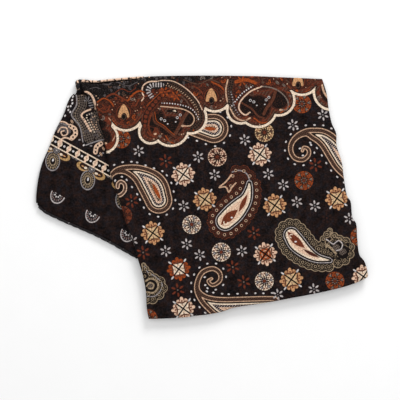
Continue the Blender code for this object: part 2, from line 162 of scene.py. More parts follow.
CLOTH_THICKNESS = 0.35
FRONT_FLAP = 4.0
WING_FLAP = 4.4
BACK_FLAP = 4.0
BACK_INSET = 1.2
HEM_WIDTH = 2.6
HEM_HEIGHT = 1.6
HEM_GAP = 0.3

# Segments along each edge, clockwise from the top.
PANEL_STEPS = (200, 196, 200, 196)
OUTLINE_STEPS = (130, 112, 130, 20, 40, 52)


def smoothstep(value: np.ndarray | float) -> np.ndarray:
    """Ease from 0 to 1."""
    value = np.clip(value, 0.0, 1.0)
    return value * value * (3.0 - 2.0 * value)


def unit(vectors: np.ndarray) -> np.ndarray:
    """Vectors of length 1 in the same directions."""
    return vectors / np.maximum(np.linalg.norm(vectors, axis=-1, keepdims=True), 1e-9)


def turned(plan: np.ndarray, degrees: float | np.ndarray) -> np.ndarray:
    """Turn places anticlockwise round the origin.

    Args:
        plan: The places.
        degrees: How far they turn.

    Returns:
        The turned places.
    """
    cos, sin = np.cos(np.radians(degrees)), np.sin(np.radians(degrees))
    x, y = plan[..., 0], plan[..., 1]
    return np.stack([x * cos - y * sin, x * sin + y * cos], axis=-1)


class Line:
    """A smooth line through places in plan, read by its length."""

    SUBSTEPS = 12

    def __init__(self, places: Places) -> None:
        """Lay the curve through the places.

        Args:
            places: Columns: x, y and any others that follow the line.
        """
        knots = np.array(places, float)
        ends = np.vstack([2 * knots[:1] - knots[1:2], knots, 2 * knots[-1:] - knots[-2:-1]])
        t = np.arange(self.SUBSTEPS)[:, None] / self.SUBSTEPS
        pieces = []
        for before, start, end, after in zip(ends, ends[1:], ends[2:], ends[3:]):
            pieces.append(0.5 * (
                2.0 * start
                + (end - before) * t
                + (2.0 * before - 5.0 * start + 4.0 * end - after) * t * t
                + (3.0 * start - before - 3.0 * end + after) * t ** 3
            ))
        self.knots = np.vstack(pieces + [knots[-1:]])
        plan = self.knots[:, :2]
        self.lengths = np.concatenate([[0.0], np.linalg.norm(np.diff(plan, axis=0), axis=1).cumsum()])
        self.length = self.lengths[-1]
        self.headings = unit(np.gradient(plan, axis=0))

    def at(self, distances: np.ndarray) -> tuple[np.ndarray, np.ndarray]:
        """Values and directions at distances from the start; straight on past either end.

        Args:
            distances: Lengths along the line.

        Returns:
            The line's columns there, and the unit directions in plan.
        """
        distances = np.atleast_1d(np.asarray(distances, float))
        held = np.clip(distances, 0.0, self.length)
        values = np.stack([np.interp(held, self.lengths, column) for column in self.knots.T], axis=1)
        headings = unit(np.stack([np.interp(held, self.lengths, c) for c in self.headings.T], axis=1))
        values[:, :2] += headings * (distances - held)[:, None]
        return values, headings

    def sampled(self, spacing: float) -> tuple[np.ndarray, np.ndarray, np.ndarray]:
        """Even distances along the line, with the values and directions there."""
        distances = np.linspace(0.0, self.length, max(int(self.length / spacing), 1) + 1)
        return distances, *self.at(distances)


def inward(headings: np.ndarray) -> np.ndarray:
    """Unit vectors into the cloth, for an outline that runs clockwise."""
    return np.stack([headings[..., 1], -headings[..., 0]], axis=-1)


# Two edges whose directions differ by less than this sine count as one line at their corner.
NEARLY_STRAIGHT = 0.2


def inset_corner(before: Line, after: Line, inset_before: float, inset_after: float) -> np.ndarray:
    """Where the inset lines of two edges meet at the corner between them.

    Args:
        before: The edge that ends there.
        after: The edge that starts there.
        inset_before: How far inside the first.
        inset_after: How far inside the second.

    Returns:
        The place in plan.
    """
    (corner,), (heading,) = before.at(before.length)
    leaving = after.at(0.0)[1][0]
    first, second = inward(heading), inward(leaving)
    cross = first[0] * second[1] - first[1] * second[0]
    if abs(cross) < NEARLY_STRAIGHT:
        return corner + (first * inset_before + second * inset_after) / 2.0
    return corner + np.array([
        (inset_before * second[1] - inset_after * first[1]) / cross,
        (inset_after * first[0] - inset_before * second[0]) / cross,
    ])


def inset_ring(edges: Sequence[Line], steps: Sequence[int], inset: float | Sequence[float]) -> np.ndarray:
    """Closed ring of places inside an outline, the same count at every inset.

    Args:
        edges: The outline's edges, clockwise.
        steps: Segments along each edge.
        inset: How far inside, the same all round or a value for each edge.

    Returns:
        The ring's places in plan.
    """
    insets = np.broadcast_to(inset, len(edges))
    count = len(edges)
    corners = [inset_corner(edges[k - 1], edges[k], insets[k - 1], insets[k]) for k in range(count)]
    ring = []
    for k, edge in enumerate(edges):
        (start, end), (leaving, heading) = edge.at([0.0, edge.length])
        first = (corners[k] - start) @ leaving
        last = edge.length + (corners[(k + 1) % count] - end) @ heading
        places, headings = edge.at(np.linspace(first, last, steps[k] + 1)[:-1])
        places += inward(headings) * insets[k]
        places[0] = corners[k]
        ring.append(places)
    return np.vstack(ring)


def fill_grid(ring: np.ndarray, across: int, down: int) -> np.ndarray:
    """Rows of places that fill a ring of four sides.

    Args:
        ring: The rim's places, clockwise from the top left.
        across: Segments along the top and the bottom.
        down: Segments along the right and the left.

    Returns:
        Places by row, column and coordinate.
    """
    closed = np.vstack([ring, ring[:1]])
    top = closed[:across + 1]
    right = closed[across:across + down + 1]
    bottom = closed[across + down:2 * across + down + 1][::-1]
    left = closed[2 * across + down:][::-1]
    u = np.linspace(0.0, 1.0, across + 1)[None, :, None]
    v = np.linspace(0.0, 1.0, down + 1)[:, None, None]
    edges = top[None] * (1 - v) + bottom[None] * v + left[:, None] * (1 - u) + right[:, None] * u
    corners = (
        top[0] * (1 - u) * (1 - v) + top[-1] * u * (1 - v) + bottom[0] * (1 - u) * v + bottom[-1] * u * v
    )
    return edges - corners


def around(grid: np.ndarray) -> np.ndarray:
    """The rim of a grid, clockwise from its first corner."""
    return np.concatenate([grid[0, :-1], grid[:-1, -1], grid[-1, :0:-1], grid[:0:-1, 0]])


def relief(creases: Places, plan: np.ndarray) -> np.ndarray:
    """Height that the creases add at each place.

    Args:
        creases: Columns: x, y, turn, length, width, rise.
        plan: The places.

    Returns:
        The heights.
    """
    height = np.zeros(plan.shape[:-1])
    for x, y, turn, length, width, rise in creases:
        along, across = np.moveaxis(turned(plan - (x, y), -turn), -1, 0)
        height += rise * smoothstep(1.0 - np.abs(along) / (length / 2.0)) * np.exp(-((across / width) ** 2))
    return height


@dataclass(frozen=True)
class Crinkle:
    """The small unevenness of thin cloth, as a sum of waves in every direction."""

    seed: int = 5
    waves: Places = ((47.0, 0.075), (23.0, 0.04), (11.0, 0.022), (6.0, 0.010))
    directions: int = 7
    spread: tuple[float, float] = (0.75, 1.3)

    def height(self, plan: np.ndarray) -> np.ndarray:
        """Height at each place in plan.

        Args:
            plan: The places.

        Returns:
            The heights.
        """
        draw = np.random.default_rng(self.seed)
        height = np.zeros(plan.shape[:-1])
        for wave_length, rise in self.waves:
            for _ in range(self.directions):
                angle, phase = draw.uniform(0.0, 2.0 * math.pi, 2)
                rate = 2.0 * math.pi / (wave_length * draw.uniform(*self.spread))
                along = plan[..., 0] * math.cos(angle) + plan[..., 1] * math.sin(angle)
                height += rise * np.sin(along * rate + phase)
        return height


def half_round(steps: int) -> tuple[np.ndarray, np.ndarray]:
    """Sines and cosines of a half circle from straight up, round to straight down."""
    angles = math.pi / 2.0 - np.linspace(0.0, math.pi, steps + 1)
    return np.sin(angles), np.cos(angles)


class Surface:
    """Collects the points of a cloth surface, where they lie on the cloth, and its faces."""

    def __init__(self) -> None:
        """Start with none."""
        self.places: list[np.ndarray] = []
        self.cloth: list[np.ndarray] = []
        self.faces: list[tuple[int, ...]] = []
        self.count = 0

    def add(self, plan: np.ndarray, height: np.ndarray | float, cloth: np.ndarray) -> np.ndarray:
        """Add points.

        Args:
            plan: Their places in plan.
            height: Their heights.
            cloth: Where they lie on the cloth.

        Returns:
            Their numbers, in the same layout as the plan.
        """
        shape = plan.shape[:-1]
        levels = np.broadcast_to(height, shape)
        self.places.append(np.concatenate([plan, levels[..., None]], axis=-1).reshape(-1, 3))
        self.cloth.append(np.broadcast_to(cloth, (*shape, 2)).reshape(-1, 2))
        numbers = self.count + np.arange(int(np.prod(shape))).reshape(shape)
        self.count += numbers.size
        return numbers

    def grid(self, numbers: np.ndarray) -> None:
        """Faces over rows and columns of points."""
        quads = [numbers[:-1, :-1], numbers[1:, :-1], numbers[1:, 1:], numbers[:-1, 1:]]
        self.faces += list(map(tuple, np.stack([q.ravel() for q in quads], axis=1).tolist()))

    def rings(self, rings: Sequence[np.ndarray]) -> None:
        """Faces between closed rings of points."""
        rows = np.stack(rings)
        self.grid(np.concatenate([rows, rows[:, :1]], axis=1))

    def tube(self, plan: np.ndarray, height: np.ndarray) -> None:
        """Add rows of points, with faces all round them and over both ends.

        Args:
            plan: Their places in plan, by ring and by side.
            height: Their heights.
        """
        numbers = self.add(plan, height, plan)
        self.grid(np.concatenate([numbers, numbers[:, :1]], axis=1))
        self.faces += [tuple(numbers[0]), tuple(numbers[-1, ::-1])]

    def piece(self, name: str) -> tuple[bpy.types.Object, np.ndarray]:
        """Make the object, at the origin.

        Args:
            name: The piece's name.

        Returns:
            The object, and where its points lie on the cloth.
        """
        mesh = bpy.data.meshes.new(name)
        mesh.from_pydata((np.vstack(self.places) * MM).tolist(), [], self.faces)
        mesh.validate()
        mesh.shade_smooth()
        made = bpy.data.objects.new(name, mesh)
        bpy.context.scene.collection.objects.link(made)
        return made, np.vstack(self.cloth)


# How much brighter than white paper the lit cloth would be with a white print.
LIGHT_ON_CLOTH = 1.2


class Tint(Enum):
    """Colours of the print, in sRGB as they look beside white paper."""

    WHITE = (0.90, 0.87, 0.86)
    SILVER = (0.78, 0.74, 0.73)
    LIGHT = (0.98, 0.89, 0.79)
    CREAM = (0.93, 0.78, 0.67)
    PALE = (0.85, 0.69, 0.57)
    TAN = (0.83, 0.62, 0.44)
    GOLD = (0.76, 0.60, 0.40)
    OLIVE = (0.68, 0.59, 0.48)
    SAND = (0.88, 0.74, 0.56)
    BROWN = (0.37, 0.27, 0.22)
    LACE_TAN = (0.50, 0.44, 0.40)
    GREY = (0.60, 0.57, 0.57)
    DIM_GREY = (0.36, 0.33, 0.33)
    ORANGE = (0.63, 0.29, 0.13)
    RUST = (0.46, 0.22, 0.14)
    BRICK = (0.44, 0.205, 0.135)
    UMBER = (0.38, 0.22, 0.16)
    DARK_RUST = (0.31, 0.16, 0.12)
    DEEP_BROWN = (0.19, 0.12, 0.10)
    BLACK = (0.10, 0.08, 0.075)

    @property
    def linear(self) -> tuple[float, float, float, float]:
        """The colour as the shaders take it."""
        return (*(((c + 0.055) / 1.055) ** 2.4 / LIGHT_ON_CLOTH for c in self.value), 1.0)


class Mark(Enum):
    """Kinds of small motif, each with how far it reaches."""

    STAR = (1, 6.2)
    FLOWER = (2, 12.5)
    ROSETTE = (3, 9.6)
    DOT = (4, 1.8)
    RING = (5, 2.2)
    CURL = (6, 3.6)
    LEAFLET = (7, 3.6)
    TEARDROP = (8, 9.5)
    PENDANT = (9, 15.0)
    SHELL = (10, 9.0)

    @property
    def number(self) -> int:
        """The number that stands for the kind in a mesh."""
        return self.value[0]

    @property
    def reach(self) -> float:
        """Radius that the motif fills."""
        return self.value[1]


class Pattern(Enum):
    """How a printed line is filled."""

    PLAIN = 0
    COMB = 1
    CHAIN = 2
    BAND = 3
    LACE = 4
    PEARLS = 5
    BEADS = 6


PRINT_TURN = 10.0
STAR_TURN = 38.0


@dataclass(frozen=True)
class Spot:
    """One printed motif."""

    mark: Mark
    x: float
    y: float
    outer: Tint = Tint.WHITE
    inner: Tint = Tint.WHITE
    turn: float = PRINT_TURN
    size: float = 1.0
    framed: bool = False


@dataclass(frozen=True)
class Stroke:
    """One printed line."""

    places: Places
    half: float
    tint: Tint = Tint.CREAM
    pattern: Pattern = Pattern.PLAIN
    leaf: bool = False
    framed: bool = False


@dataclass(frozen=True)
class Paisley:
    """A paisley body: a line from its bulb to its tip, with its radius there in the third column."""

    spine: Places
    SPACING = 0.6
    CAP_STEPS = 30
    SLACK = 0.4

    def samples(self) -> np.ndarray:
        """Circles, as x, y and radius, that together fill the body."""
        return Line(self.spine).sampled(self.SPACING)[1]

    def outline(self, offset: float, pitch: float) -> tuple[np.ndarray, np.ndarray]:
        """Even places round the body, outside it.

        Args:
            offset: Distance from the body's edge.
            pitch: Distance from each place to the next.

        Returns:
            The places, and their directions along the outline in degrees.
        """
        body = self.samples()
        headings = unit(np.gradient(body[:, :2], axis=0))
        side = inward(headings)
        reach = body[:, 2:] + offset
        right = body[:, :2] + side * reach
        left = body[:, :2] - side * reach
        cap = np.linspace(math.pi, 0.0, self.CAP_STEPS)[1:-1, None]
        start = body[0, :2] + reach[0] * (side[0] * np.cos(cap) - headings[0] * np.sin(cap))
        rim = np.vstack([left[::-1], start, right])
        gap = np.linalg.norm(rim[:, None] - body[None, :, :2], axis=2) - body[None, :, 2]
        _, places, ways = Line(rim[gap.min(1) > offset - self.SLACK]).sampled(pitch)
        step = np.linalg.norm(np.diff(places, axis=0), axis=1)
        keep = np.concatenate([[True], step > pitch * 0.5])
        return places[keep], np.degrees(np.arctan2(ways[keep, 1], ways[keep, 0]))


def spots(rows: Sequence[tuple], framed: bool = False) -> list[Spot]:
    """Motifs from the rows of a table.

    Args:
        rows: Columns: kind, outer tint, inner tint, turn, size, places.
        framed: Whether they show in the frame, not in the field.

    Returns:
        The motifs.
    """
    return [
        Spot(mark, x, y, outer, inner, turn, size, framed)
        for mark, outer, inner, turn, size, places in rows for x, y in places
    ]


# The field's small motifs. Columns: kind, outer tint, inner tint, turn, size, places.
FIELD_SPOTS = (
    (Mark.STAR, Tint.SILVER, Tint.GREY, STAR_TURN, 1.0, (
        (-63, 47), (-3.5, 41), (13, 23), (43, 58), (66.5, 24), (-18, -8), (-15, -46), (-36, -53), (-2, -57),
        (-69.5, -43), (40, -53), (76, -96.5), (91, 73), (81.5, 13), (95, -4), (113, -8), (147.5, -20.5),
        (112, -91), (121, 83), (-97, 47),
    )),
    (Mark.STAR, Tint.BRICK, Tint.LACE_TAN, STAR_TURN, 1.2, (
        (-36, 37), (-70, -3), (52, -35), (31, -69), (42, -84), (-24, -92), (-58.5, -54.5), (113.5, 33),
    )),
    (Mark.STAR, Tint.DEEP_BROWN, Tint.DARK_RUST, STAR_TURN, 1.0, ((125, -20), (150, 10))),
    (Mark.FLOWER, Tint.CREAM, Tint.LIGHT, PRINT_TURN, 1.0, (
        (-18.5, 23.5), (58, 43.5), (-18.5, -110.5), (161.5, -78.5),
    )),
    (Mark.FLOWER, Tint.TAN, Tint.SAND, PRINT_TURN, 1.0, (
        (3, -1.5), (-49, -35), (135, -0.5), (73, -7.5), (89.5, -81.5),
    )),
    (Mark.FLOWER, Tint.ORANGE, Tint.LIGHT, PRINT_TURN, 1.0, ((-23, -71),)),
    (Mark.FLOWER, Tint.CREAM, Tint.ORANGE, PRINT_TURN, 1.0, ((63.5, -56),)),
    (Mark.ROSETTE, Tint.LIGHT, Tint.GREY, PRINT_TURN, 1.0, ((-10, -26.5), (19.5, -54), (62.5, -83))),
    (Mark.ROSETTE, Tint.ORANGE, Tint.LACE_TAN, PRINT_TURN, 1.0, (
        (102, 17.5), (100, 94), (133, -83), (158, -38.5), (-80.5, 59), (-53.5, -120.5),
    )),
    (Mark.ROSETTE, Tint.RUST, Tint.DARK_RUST, PRINT_TURN, 1.0, ((-79, -17.5),)),
    (Mark.ROSETTE, Tint.SAND, Tint.BROWN, PRINT_TURN, 1.0, ((62.5, 65.5),)),
    (Mark.ROSETTE, Tint.CREAM, Tint.DARK_RUST, PRINT_TURN, 1.0, ((15.5, 41),)),
    (Mark.CURL, Tint.LIGHT, Tint.RUST, 200.0, 0.85, ((24, -24.5),)),
    (Mark.CURL, Tint.LIGHT, Tint.RUST, 100.0, 0.7, ((89.5, -38),)),
    (Mark.DOT, Tint.WHITE, Tint.WHITE, PRINT_TURN, 1.0, (
        (30, -19.5), (93.7, -43.6), (98, 49.5), (101, 42.5), (3, -79), (3.5, -87),
    )),
)
# The frame's motifs, placed one by one. Columns: kind, outer tint, inner tint, turn, size, places.
FRAME_SPOTS = (
    (Mark.TEARDROP, Tint.TAN, Tint.RUST, 0.0, 1.0, ((-78, 86), (9.5, 102), (96, 117.5))),
    (Mark.RING, Tint.WHITE, Tint.BLACK, PRINT_TURN, 0.75, (
        (-40.5, 79), (-37, 77.3), (-21.5, 83), (-24.5, 80.3), (48.5, 97.5), (52, 96), (67, 100.5), (64.3, 98),
    )),
    (Mark.DOT, Tint.WHITE, Tint.WHITE, PRINT_TURN, 0.7, ((-34, 74), (-26, 76), (55, 92.5), (63, 93.5))),
    (Mark.DOT, Tint.PALE, Tint.PALE, PRINT_TURN, 1.3, ((-46.5, 64), (79, 88), (-96, 54.5), (-19, 72))),
    (Mark.STAR, Tint.ORANGE, Tint.ORANGE, PRINT_TURN, 0.95, ((-37, 106), (-26, 102), (40, 117))),
)

BANDED_PAISLEYS = (
    Paisley((
        (-43, -2, 13.5), (-49, 12, 14.5), (-61, 23, 9.5), (-74, 28, 5.2), (-84, 27.5, 3.4), (-90, 23, 2.3),
        (-91, 18, 1.4),
    )),
    Paisley(((12, 69.5, 14.5), (2, 71, 12.5), (-12, 73, 9.5))),
    Paisley((
        (150, 29, 12.5), (142, 36.5, 12.5), (135, 45.5, 11.5), (127.5, 55, 10.0), (120.5, 60.8, 8.6),
        (113, 63.5, 6.6), (105, 65.5, 4.0), (96, 62, 3.0), (90, 55, 2.7), (89, 47, 2.5), (93, 40, 2.4),
        (101, 38.2, 2.3), (106.5, 43, 2.2), (106.5, 48.5, 2.0), (102, 50.5, 1.7), (100.5, 47, 1.5),
    )),
    Paisley((
        (70, -108, 10.0), (60, -111, 13.0), (43, -113, 14.5), (23, -111, 12.0), (10, -106, 8.0),
        (1, -100, 5.0), (-4.5, -92, 3.0), (-4, -83, 2.6), (1, -74, 2.5), (11, -70.5, 2.4), (18, -75, 2.3),
        (18, -82.5, 2.1), (11, -87, 1.9), (6.5, -83, 1.7), (10, -80.5, 1.5),
    )),
)
# Inside the spirals no dots follow the outline. Columns: x, y, radius.
SPIRAL_EYES = ((98.5, 49.0, 9.5), (9.5, -79.5, 11.0))
RUST_PAISLEY = Paisley((
    (23.5, -23, 7.8), (31.5, -15.5, 8.4), (38.5, -8, 7.0), (44, -1, 4.6), (46.8, 8, 2.4), (47.5, 15, 0.8),
))
OLIVE_PAISLEYS = (
    Paisley(((89.5, -37, 6.0), (95, -45, 7.0), (104, -53.5, 5.2), (115, -60, 2.8), (128, -62.3, 0.6))),
)
# More scallops where a band hooks over its tip. Columns: x, y, radius.
RUST_HOOK = ((48, 22, 6), (42, 27, 6), (34, 27.5, 5.5), (31, 22, 4), (38, 16, 9), (29, 12, 5))
OLIVE_HOOK = (
    (120, -47, 4.5), (121.5, -41, 3.5), (125, -36.5, 3.5), (128, -32.5, 2.8), (132.5, -38, 3.8),
    (138, -41, 4), (144, -43.5, 4.5), (148.5, -49, 4.5), (148, -56, 4.5),
    (143, -62, 5), (136, -65, 5), (134, -50, 9.5),
    (141, -54, 9), (-58, -67, 2.5), (-56, -71, 3.5), (-52, -76, 4),
    (-47, -80, 4.5), (-41.5, -83.5, 5), (-39, -90, 5), (-42.5, -96.5, 5), (-49, -101, 5), (-55, -102, 4),
    (-51, -88, 9), (-57, -78, 6), (-53, -96, 6),
)

# The scalloped frame line bounds a union of circles. Columns: x, y, radius.
FRAME_LOBES = (
    (-99, 60, 15), (-104, 76, 15.5), (-76, 85, 17.5), (-51, 66, 11.5), (-31, 70, 18), (-11, 80, 15.5),
    (-47, 80, 16), (-12, 92, 16), (13, 103, 16.5), (39, 88, 13.5), (56, 90, 19), (77, 98, 15.5),
    (41, 100, 17), (100, 120, 17), (130, 106, 18),
)
FRAME_BASE = (-61.0, 81.0)
FRAME_SLOPE = 0.17
HEARTS = (
    (-46, 75, 9), (-31, 77, 14.5), (-16, 79, 10.5), (-22, 84, 9.5), (49, 92, 10), (63, 92, 13.5),
    (78, 96, 11), (66, 98, 11), (130, 106, 11), (-98, 62, 9), (-101, 72, 6),
)
BARE_CORNER = (-93.0, 103.0)
STROKE_ROOM = 0.8
PAIRS_AT_ONCE = 4_000_000
RUST_TOP = (-76.0, 102.0)
RUST_TOP_SLOPE = 0.202


def above_rust(plan: np.ndarray) -> np.ndarray:
    """How far each place is above the frame's rusty part."""
    return plan[:, 1] - RUST_TOP[1] - RUST_TOP_SLOPE * (plan[:, 0] - RUST_TOP[0])


def frame_depth(plan: np.ndarray) -> np.ndarray:
    """How far each place is inside the scalloped frame; below 0 in the field.

    Args:
        plan: The places.

    Returns:
        The distances.
    """
    base = plan[:, 1] - FRAME_BASE[1] - FRAME_SLOPE * (plan[:, 0] - FRAME_BASE[0])
    depth = base / math.hypot(1.0, FRAME_SLOPE)
    for x, y, radius in FRAME_LOBES:
        depth = np.maximum(depth, radius - np.hypot(plan[:, 0] - x, plan[:, 1] - y))
    return depth


def edge_distance(plan: np.ndarray, circles: np.ndarray) -> tuple[np.ndarray, np.ndarray]:
    """The circle whose edge is nearest to each place, and the distance, below 0 inside it.

    Args:
        plan: The places.
        circles: Columns x, y and radius.

    Returns:
        Circle numbers and distances.
    """
    chosen = np.empty(len(plan), int)
    distance = np.empty(len(plan))
    at_once = max(PAIRS_AT_ONCE // len(circles), 1)
    for start in range(0, len(plan), at_once):
        part = plan[start:start + at_once]
        gap = np.hypot(part[:, :1] - circles[:, 0], part[:, 1:2] - circles[:, 1]) - circles[:, 2]
        nearest = gap.argmin(1)
        chosen[start:start + at_once] = nearest
        distance[start:start + at_once] = gap[np.arange(len(part)), nearest]
    return chosen, distance


# Printed lines. Columns: places, half width, tint, pattern where it isn't plain.
FRAME_BANDS = (
    (((-57, 72), (-55, 84), (-48, 94), (-39, 103), (-32, 107)), 3.4, Tint.BRICK, Pattern.BEADS),
    (((-14, 86), (-18, 80), (-22, 72), (-27, 63)), 1.7, Tint.UMBER),
    (((74, 108), (72, 101), (69, 95), (65, 90), (62, 84)), 1.5, Tint.UMBER),
    (((-95, 79), (-88.5, 73), (-85.5, 64), (-88, 55), (-95, 51.5)), 2.6, Tint.BRICK),
    (((34, 116), (44, 118), (54, 115)), 1.6, Tint.ORANGE),
    (((-41, 107), (-34, 103), (-26, 101)), 2.2, Tint.RUST),
    (((31, 84), (29, 95), (28, 106), (30, 117)), 2.4, Tint.BROWN, Pattern.LACE),
    (((-30, 113), (-18, 107), (-8, 98), (-2, 86), (-2, 76), (-10, 68)), 2.4, Tint.BROWN, Pattern.LACE),
    (((-49, 85), (-47, 76), (-39, 71), (-33, 66), (-27, 61)), 0.9, Tint.UMBER),
    (((40, 95), (50, 89), (56, 82), (62, 80)), 0.9, Tint.UMBER),
    (((-50, 101), (-53.5, 107), (-50, 112.5), (-40, 113)), 2.3, Tint.SILVER, Pattern.COMB),
)
FRAME_STROKES = (
    (((-38, 113), (-28, 110.5), (-17, 104), (-8, 95), (-3.5, 86), (-3, 76)), 0.5, Tint.PALE, Pattern.CHAIN),
    (((-34, 111), (-24, 107.5), (-12, 98), (-6, 88), (-5, 77)), 0.45, Tint.OLIVE, Pattern.CHAIN),
    (((26, 112), (27, 102), (28, 94), (33, 85), (40, 80)), 0.5, Tint.LACE_TAN, Pattern.CHAIN),
    (((-40, 95), (-27, 94), (-14, 91), (-7, 86), (-3, 78)), 0.65, Tint.WHITE, Pattern.CHAIN),
    (((30, 92), (34, 97), (41, 105), (51, 112)), 0.7, Tint.WHITE, Pattern.CHAIN),
    (((-47, 86), (-45, 77), (-38, 72.5), (-32, 67), (-27, 63)), 0.35, Tint.ORANGE),
    (((-13, 87), (-17, 79), (-21, 71), (-26, 64)), 0.35, Tint.BROWN),
    (((-55, 92), (-48, 99), (-40, 106)), 0.35, Tint.ORANGE),
    (((-89, 78), (-84, 71), (-83, 62), (-87, 54)), 0.4, Tint.ORANGE),
    (((-93, 80), (-87.5, 72.5), (-86, 64), (-89, 57)), 0.35, Tint.PALE),
    (((-76, 72), (-68, 74), (-62, 80), (-60, 88)), 0.4, Tint.RUST),
    (((-90, 82), (-84, 75), (-76, 72)), 0.4, Tint.RUST),
    (((0, 92), (6, 88.5), (14, 88.5), (22, 92)), 0.4, Tint.RUST),
    (((85, 106), (92, 104), (100, 104.5), (108, 108)), 0.4, Tint.ORANGE),
    (((-112, 109), (-106, 110.5), (-101, 109)), 0.35, Tint.DIM_GREY),
    (((-104, 116), (-94, 113), (-86, 116), (-74, 112), (-64, 116)), 0.4, Tint.DIM_GREY),
    (((-88, 104), (-80, 109), (-72, 106), (-66, 110)), 0.5, Tint.BRICK),
    (((-60, 97), (-58, 101), (-59.5, 106), (-58.5, 112), (-53, 116), (-45, 116.5)), 0.65, Tint.CREAM),
    (((-45, 116.5), (-38, 117.5), (-27, 116), (-14, 108), (-4, 97), (0.5, 88)), 0.45, Tint.CREAM),
    (((-41, 91.5), (-30, 90.5), (-18, 88.5), (-10, 84), (-7.5, 78), (-11, 72.5), (-18, 72)), 0.55, Tint.PALE),
    (((-120, 103.6), (-115, 106), (-110, 102.5), (-107, 96), (-106.4, 88)), 0.9, Tint.CREAM),
    (((-104, 96), (-98, 99.5), (-92, 97), (-88, 92)), 0.7, Tint.ORANGE),
    (((-104, 90), (-99, 86), (-94, 87), (-92, 92)), 0.8, Tint.RUST),
    (((-66, 92), (-62, 99), (-55, 102)), 0.7, Tint.RUST),
    (((-8, 112), (0, 106), (4, 98)), 0.7, Tint.RUST),
    (((-24, 104), (-17, 99), (-12, 92)), 0.7, Tint.BROWN),
    (((86, 112), (92, 106), (97, 104.5), (103, 106), (108, 111)), 0.7, Tint.RUST),
    (((-46, 70), (-50, 62), (-54, 66)), 0.7, Tint.RUST),
    (((-36, 62), (-31, 56), (-22, 54), (-12, 60), (-8, 68)), 0.6, Tint.ORANGE),
    (((52, 80), (60, 75), (70, 78), (80, 86), (88, 92)), 0.6, Tint.ORANGE),
    (((-93, 48), (-87, 54), (-84, 62), (-86, 70)), 0.6, Tint.ORANGE),
    (((-50, 84), (-53, 75), (-52, 67), (-48.5, 61.5), (-45, 63.5), (-46, 66.5)), 0.8, Tint.RUST),
    (((26, 118), (24, 107.5), (25.5, 97), (29, 88.5), (34.5, 80), (42, 77.3), (48.5, 80)), 0.7, Tint.PALE),
    (((60, 111.5), (48, 106), (39, 97), (37, 90), (40, 85), (44, 83), (48, 85.5)), 0.7, Tint.CREAM),
    (((60, 111.5), (68, 110.5), (76, 107.5), (83, 101.5), (86.5, 94.5), (85, 88.5), (80, 88)),
     0.6, Tint.LACE_TAN),
    (((-95, 101), (-88, 104), (-80, 100), (-74, 97)), 0.9, Tint.RUST),
    (((-74, 97), (-68, 104), (-62, 107), (-58, 105.5)), 0.9, Tint.ORANGE),
    (((10, 116), (18, 112), (22, 108)), 0.8, Tint.ORANGE),
    (((120, 113), (123, 104), (130, 97), (137, 99)), 0.9, Tint.PALE),
    (((-18, 118), (-4, 114), (8, 118), (18, 115)), 0.5, Tint.BROWN),
    (((84, 118), (90, 113), (92, 107)), 0.5, Tint.BROWN),
    (((29, 106), (31, 99), (33, 90), (38, 82)), 0.7, Tint.GREY, Pattern.CHAIN),
)
FIELD_STROKES = (
    (((-84, 11), (-83.5, 14.5), (-80.5, 16.3), (-77, 13.5), (-76.8, 8), (-80, 3.8), (-84, 2)),
     1.9, Tint.CREAM, Pattern.BAND),
    (((30.4, 26), (38, 27.5), (45, 24), (48, 17)), 0.6, Tint.GREY),
    (((29.7, 23.3), (24, 16.2), (18, 11.5)), 0.7, Tint.PALE),
    (((17.5, 10.6), (24, 11), (27, 6), (30, 10.5), (34, 15)), 0.7, Tint.PALE),
    (((124, -41), (127, -43), (131, -46), (133, -45), (137, -42.5), (140.5, -46), (139, -51), (134.5, -52.5)),
     0.5, Tint.SILVER),
    (((130, -60), (138, -59.5), (145, -55), (147, -48.5), (142, -43.5)), 0.9, Tint.BLACK),
    (((124, -46.5), (129, -50), (134, -55.5)), 1.1, Tint.OLIVE, Pattern.PEARLS),
    (((130.5, -37), (136, -40), (142, -43)), 0.9, Tint.OLIVE, Pattern.CHAIN),
    (((-56, -83), (-51, -80.5), (-45, -83), (-43.5, -89), (-48, -94.5), (-55, -94)),
     0.9, Tint.OLIVE, Pattern.PEARLS),
    (((-55, -88), (-52, -84.5), (-48, -86.5), (-49.5, -90.5), (-53, -90)), 0.7, Tint.OLIVE),
    (((-58, -66), (-54, -74), (-47, -78), (-40, -85), (-41, -92), (-47, -98), (-55, -98)), 0.5, Tint.GREY),
)
LEAVES = (
    (((37, -14), (41, -6), (45.5, 3.5)), 2.3, Tint.RUST),
    (((19, -27), (26, -20), (36, -11.5)), 4.3, Tint.RUST),
    (((85.5, -33.5), (93, -41.5), (103, -50)), 3.6, Tint.RUST),
    (((101, -51), (109, -55.5), (118, -59.5)), 1.7, Tint.DARK_RUST),
    (((-49.5, 15), (-46, 8), (-42.5, 1.5), (-40.5, -2)), 1.9, Tint.ORANGE),
    (((2, 69.5), (9, 69), (15, 69)), 1.9, Tint.ORANGE),
)


# The frame's scattered ornament: where it is tried, and how far it keeps from the line and the rest.
GROUND_X = (-125.0, 140.0)
GROUND_Y = (50.0, 126.0)
LINE_ROOM = 2.0
HEART_ROOM = 1.0
MOTIF_ROOM = 0.6
ORNAMENT = (Mark.CURL, Mark.CURL, Mark.CURL, Mark.LEAFLET, Mark.LEAFLET, Mark.RING, Mark.DOT)
ORNAMENT_SIZES = (0.55, 0.95)
DOT_SIZES = (0.4, 0.7)
ORNAMENT_SHARE = 0.7
WARM_TINTS = (Tint.UMBER, Tint.BRICK, Tint.RUST, Tint.BROWN, Tint.UMBER, Tint.LACE_TAN, Tint.ORANGE)
COLD_TINTS = (Tint.DIM_GREY, Tint.DEEP_BROWN, Tint.BROWN, Tint.DIM_GREY, Tint.DARK_RUST, Tint.LACE_TAN)


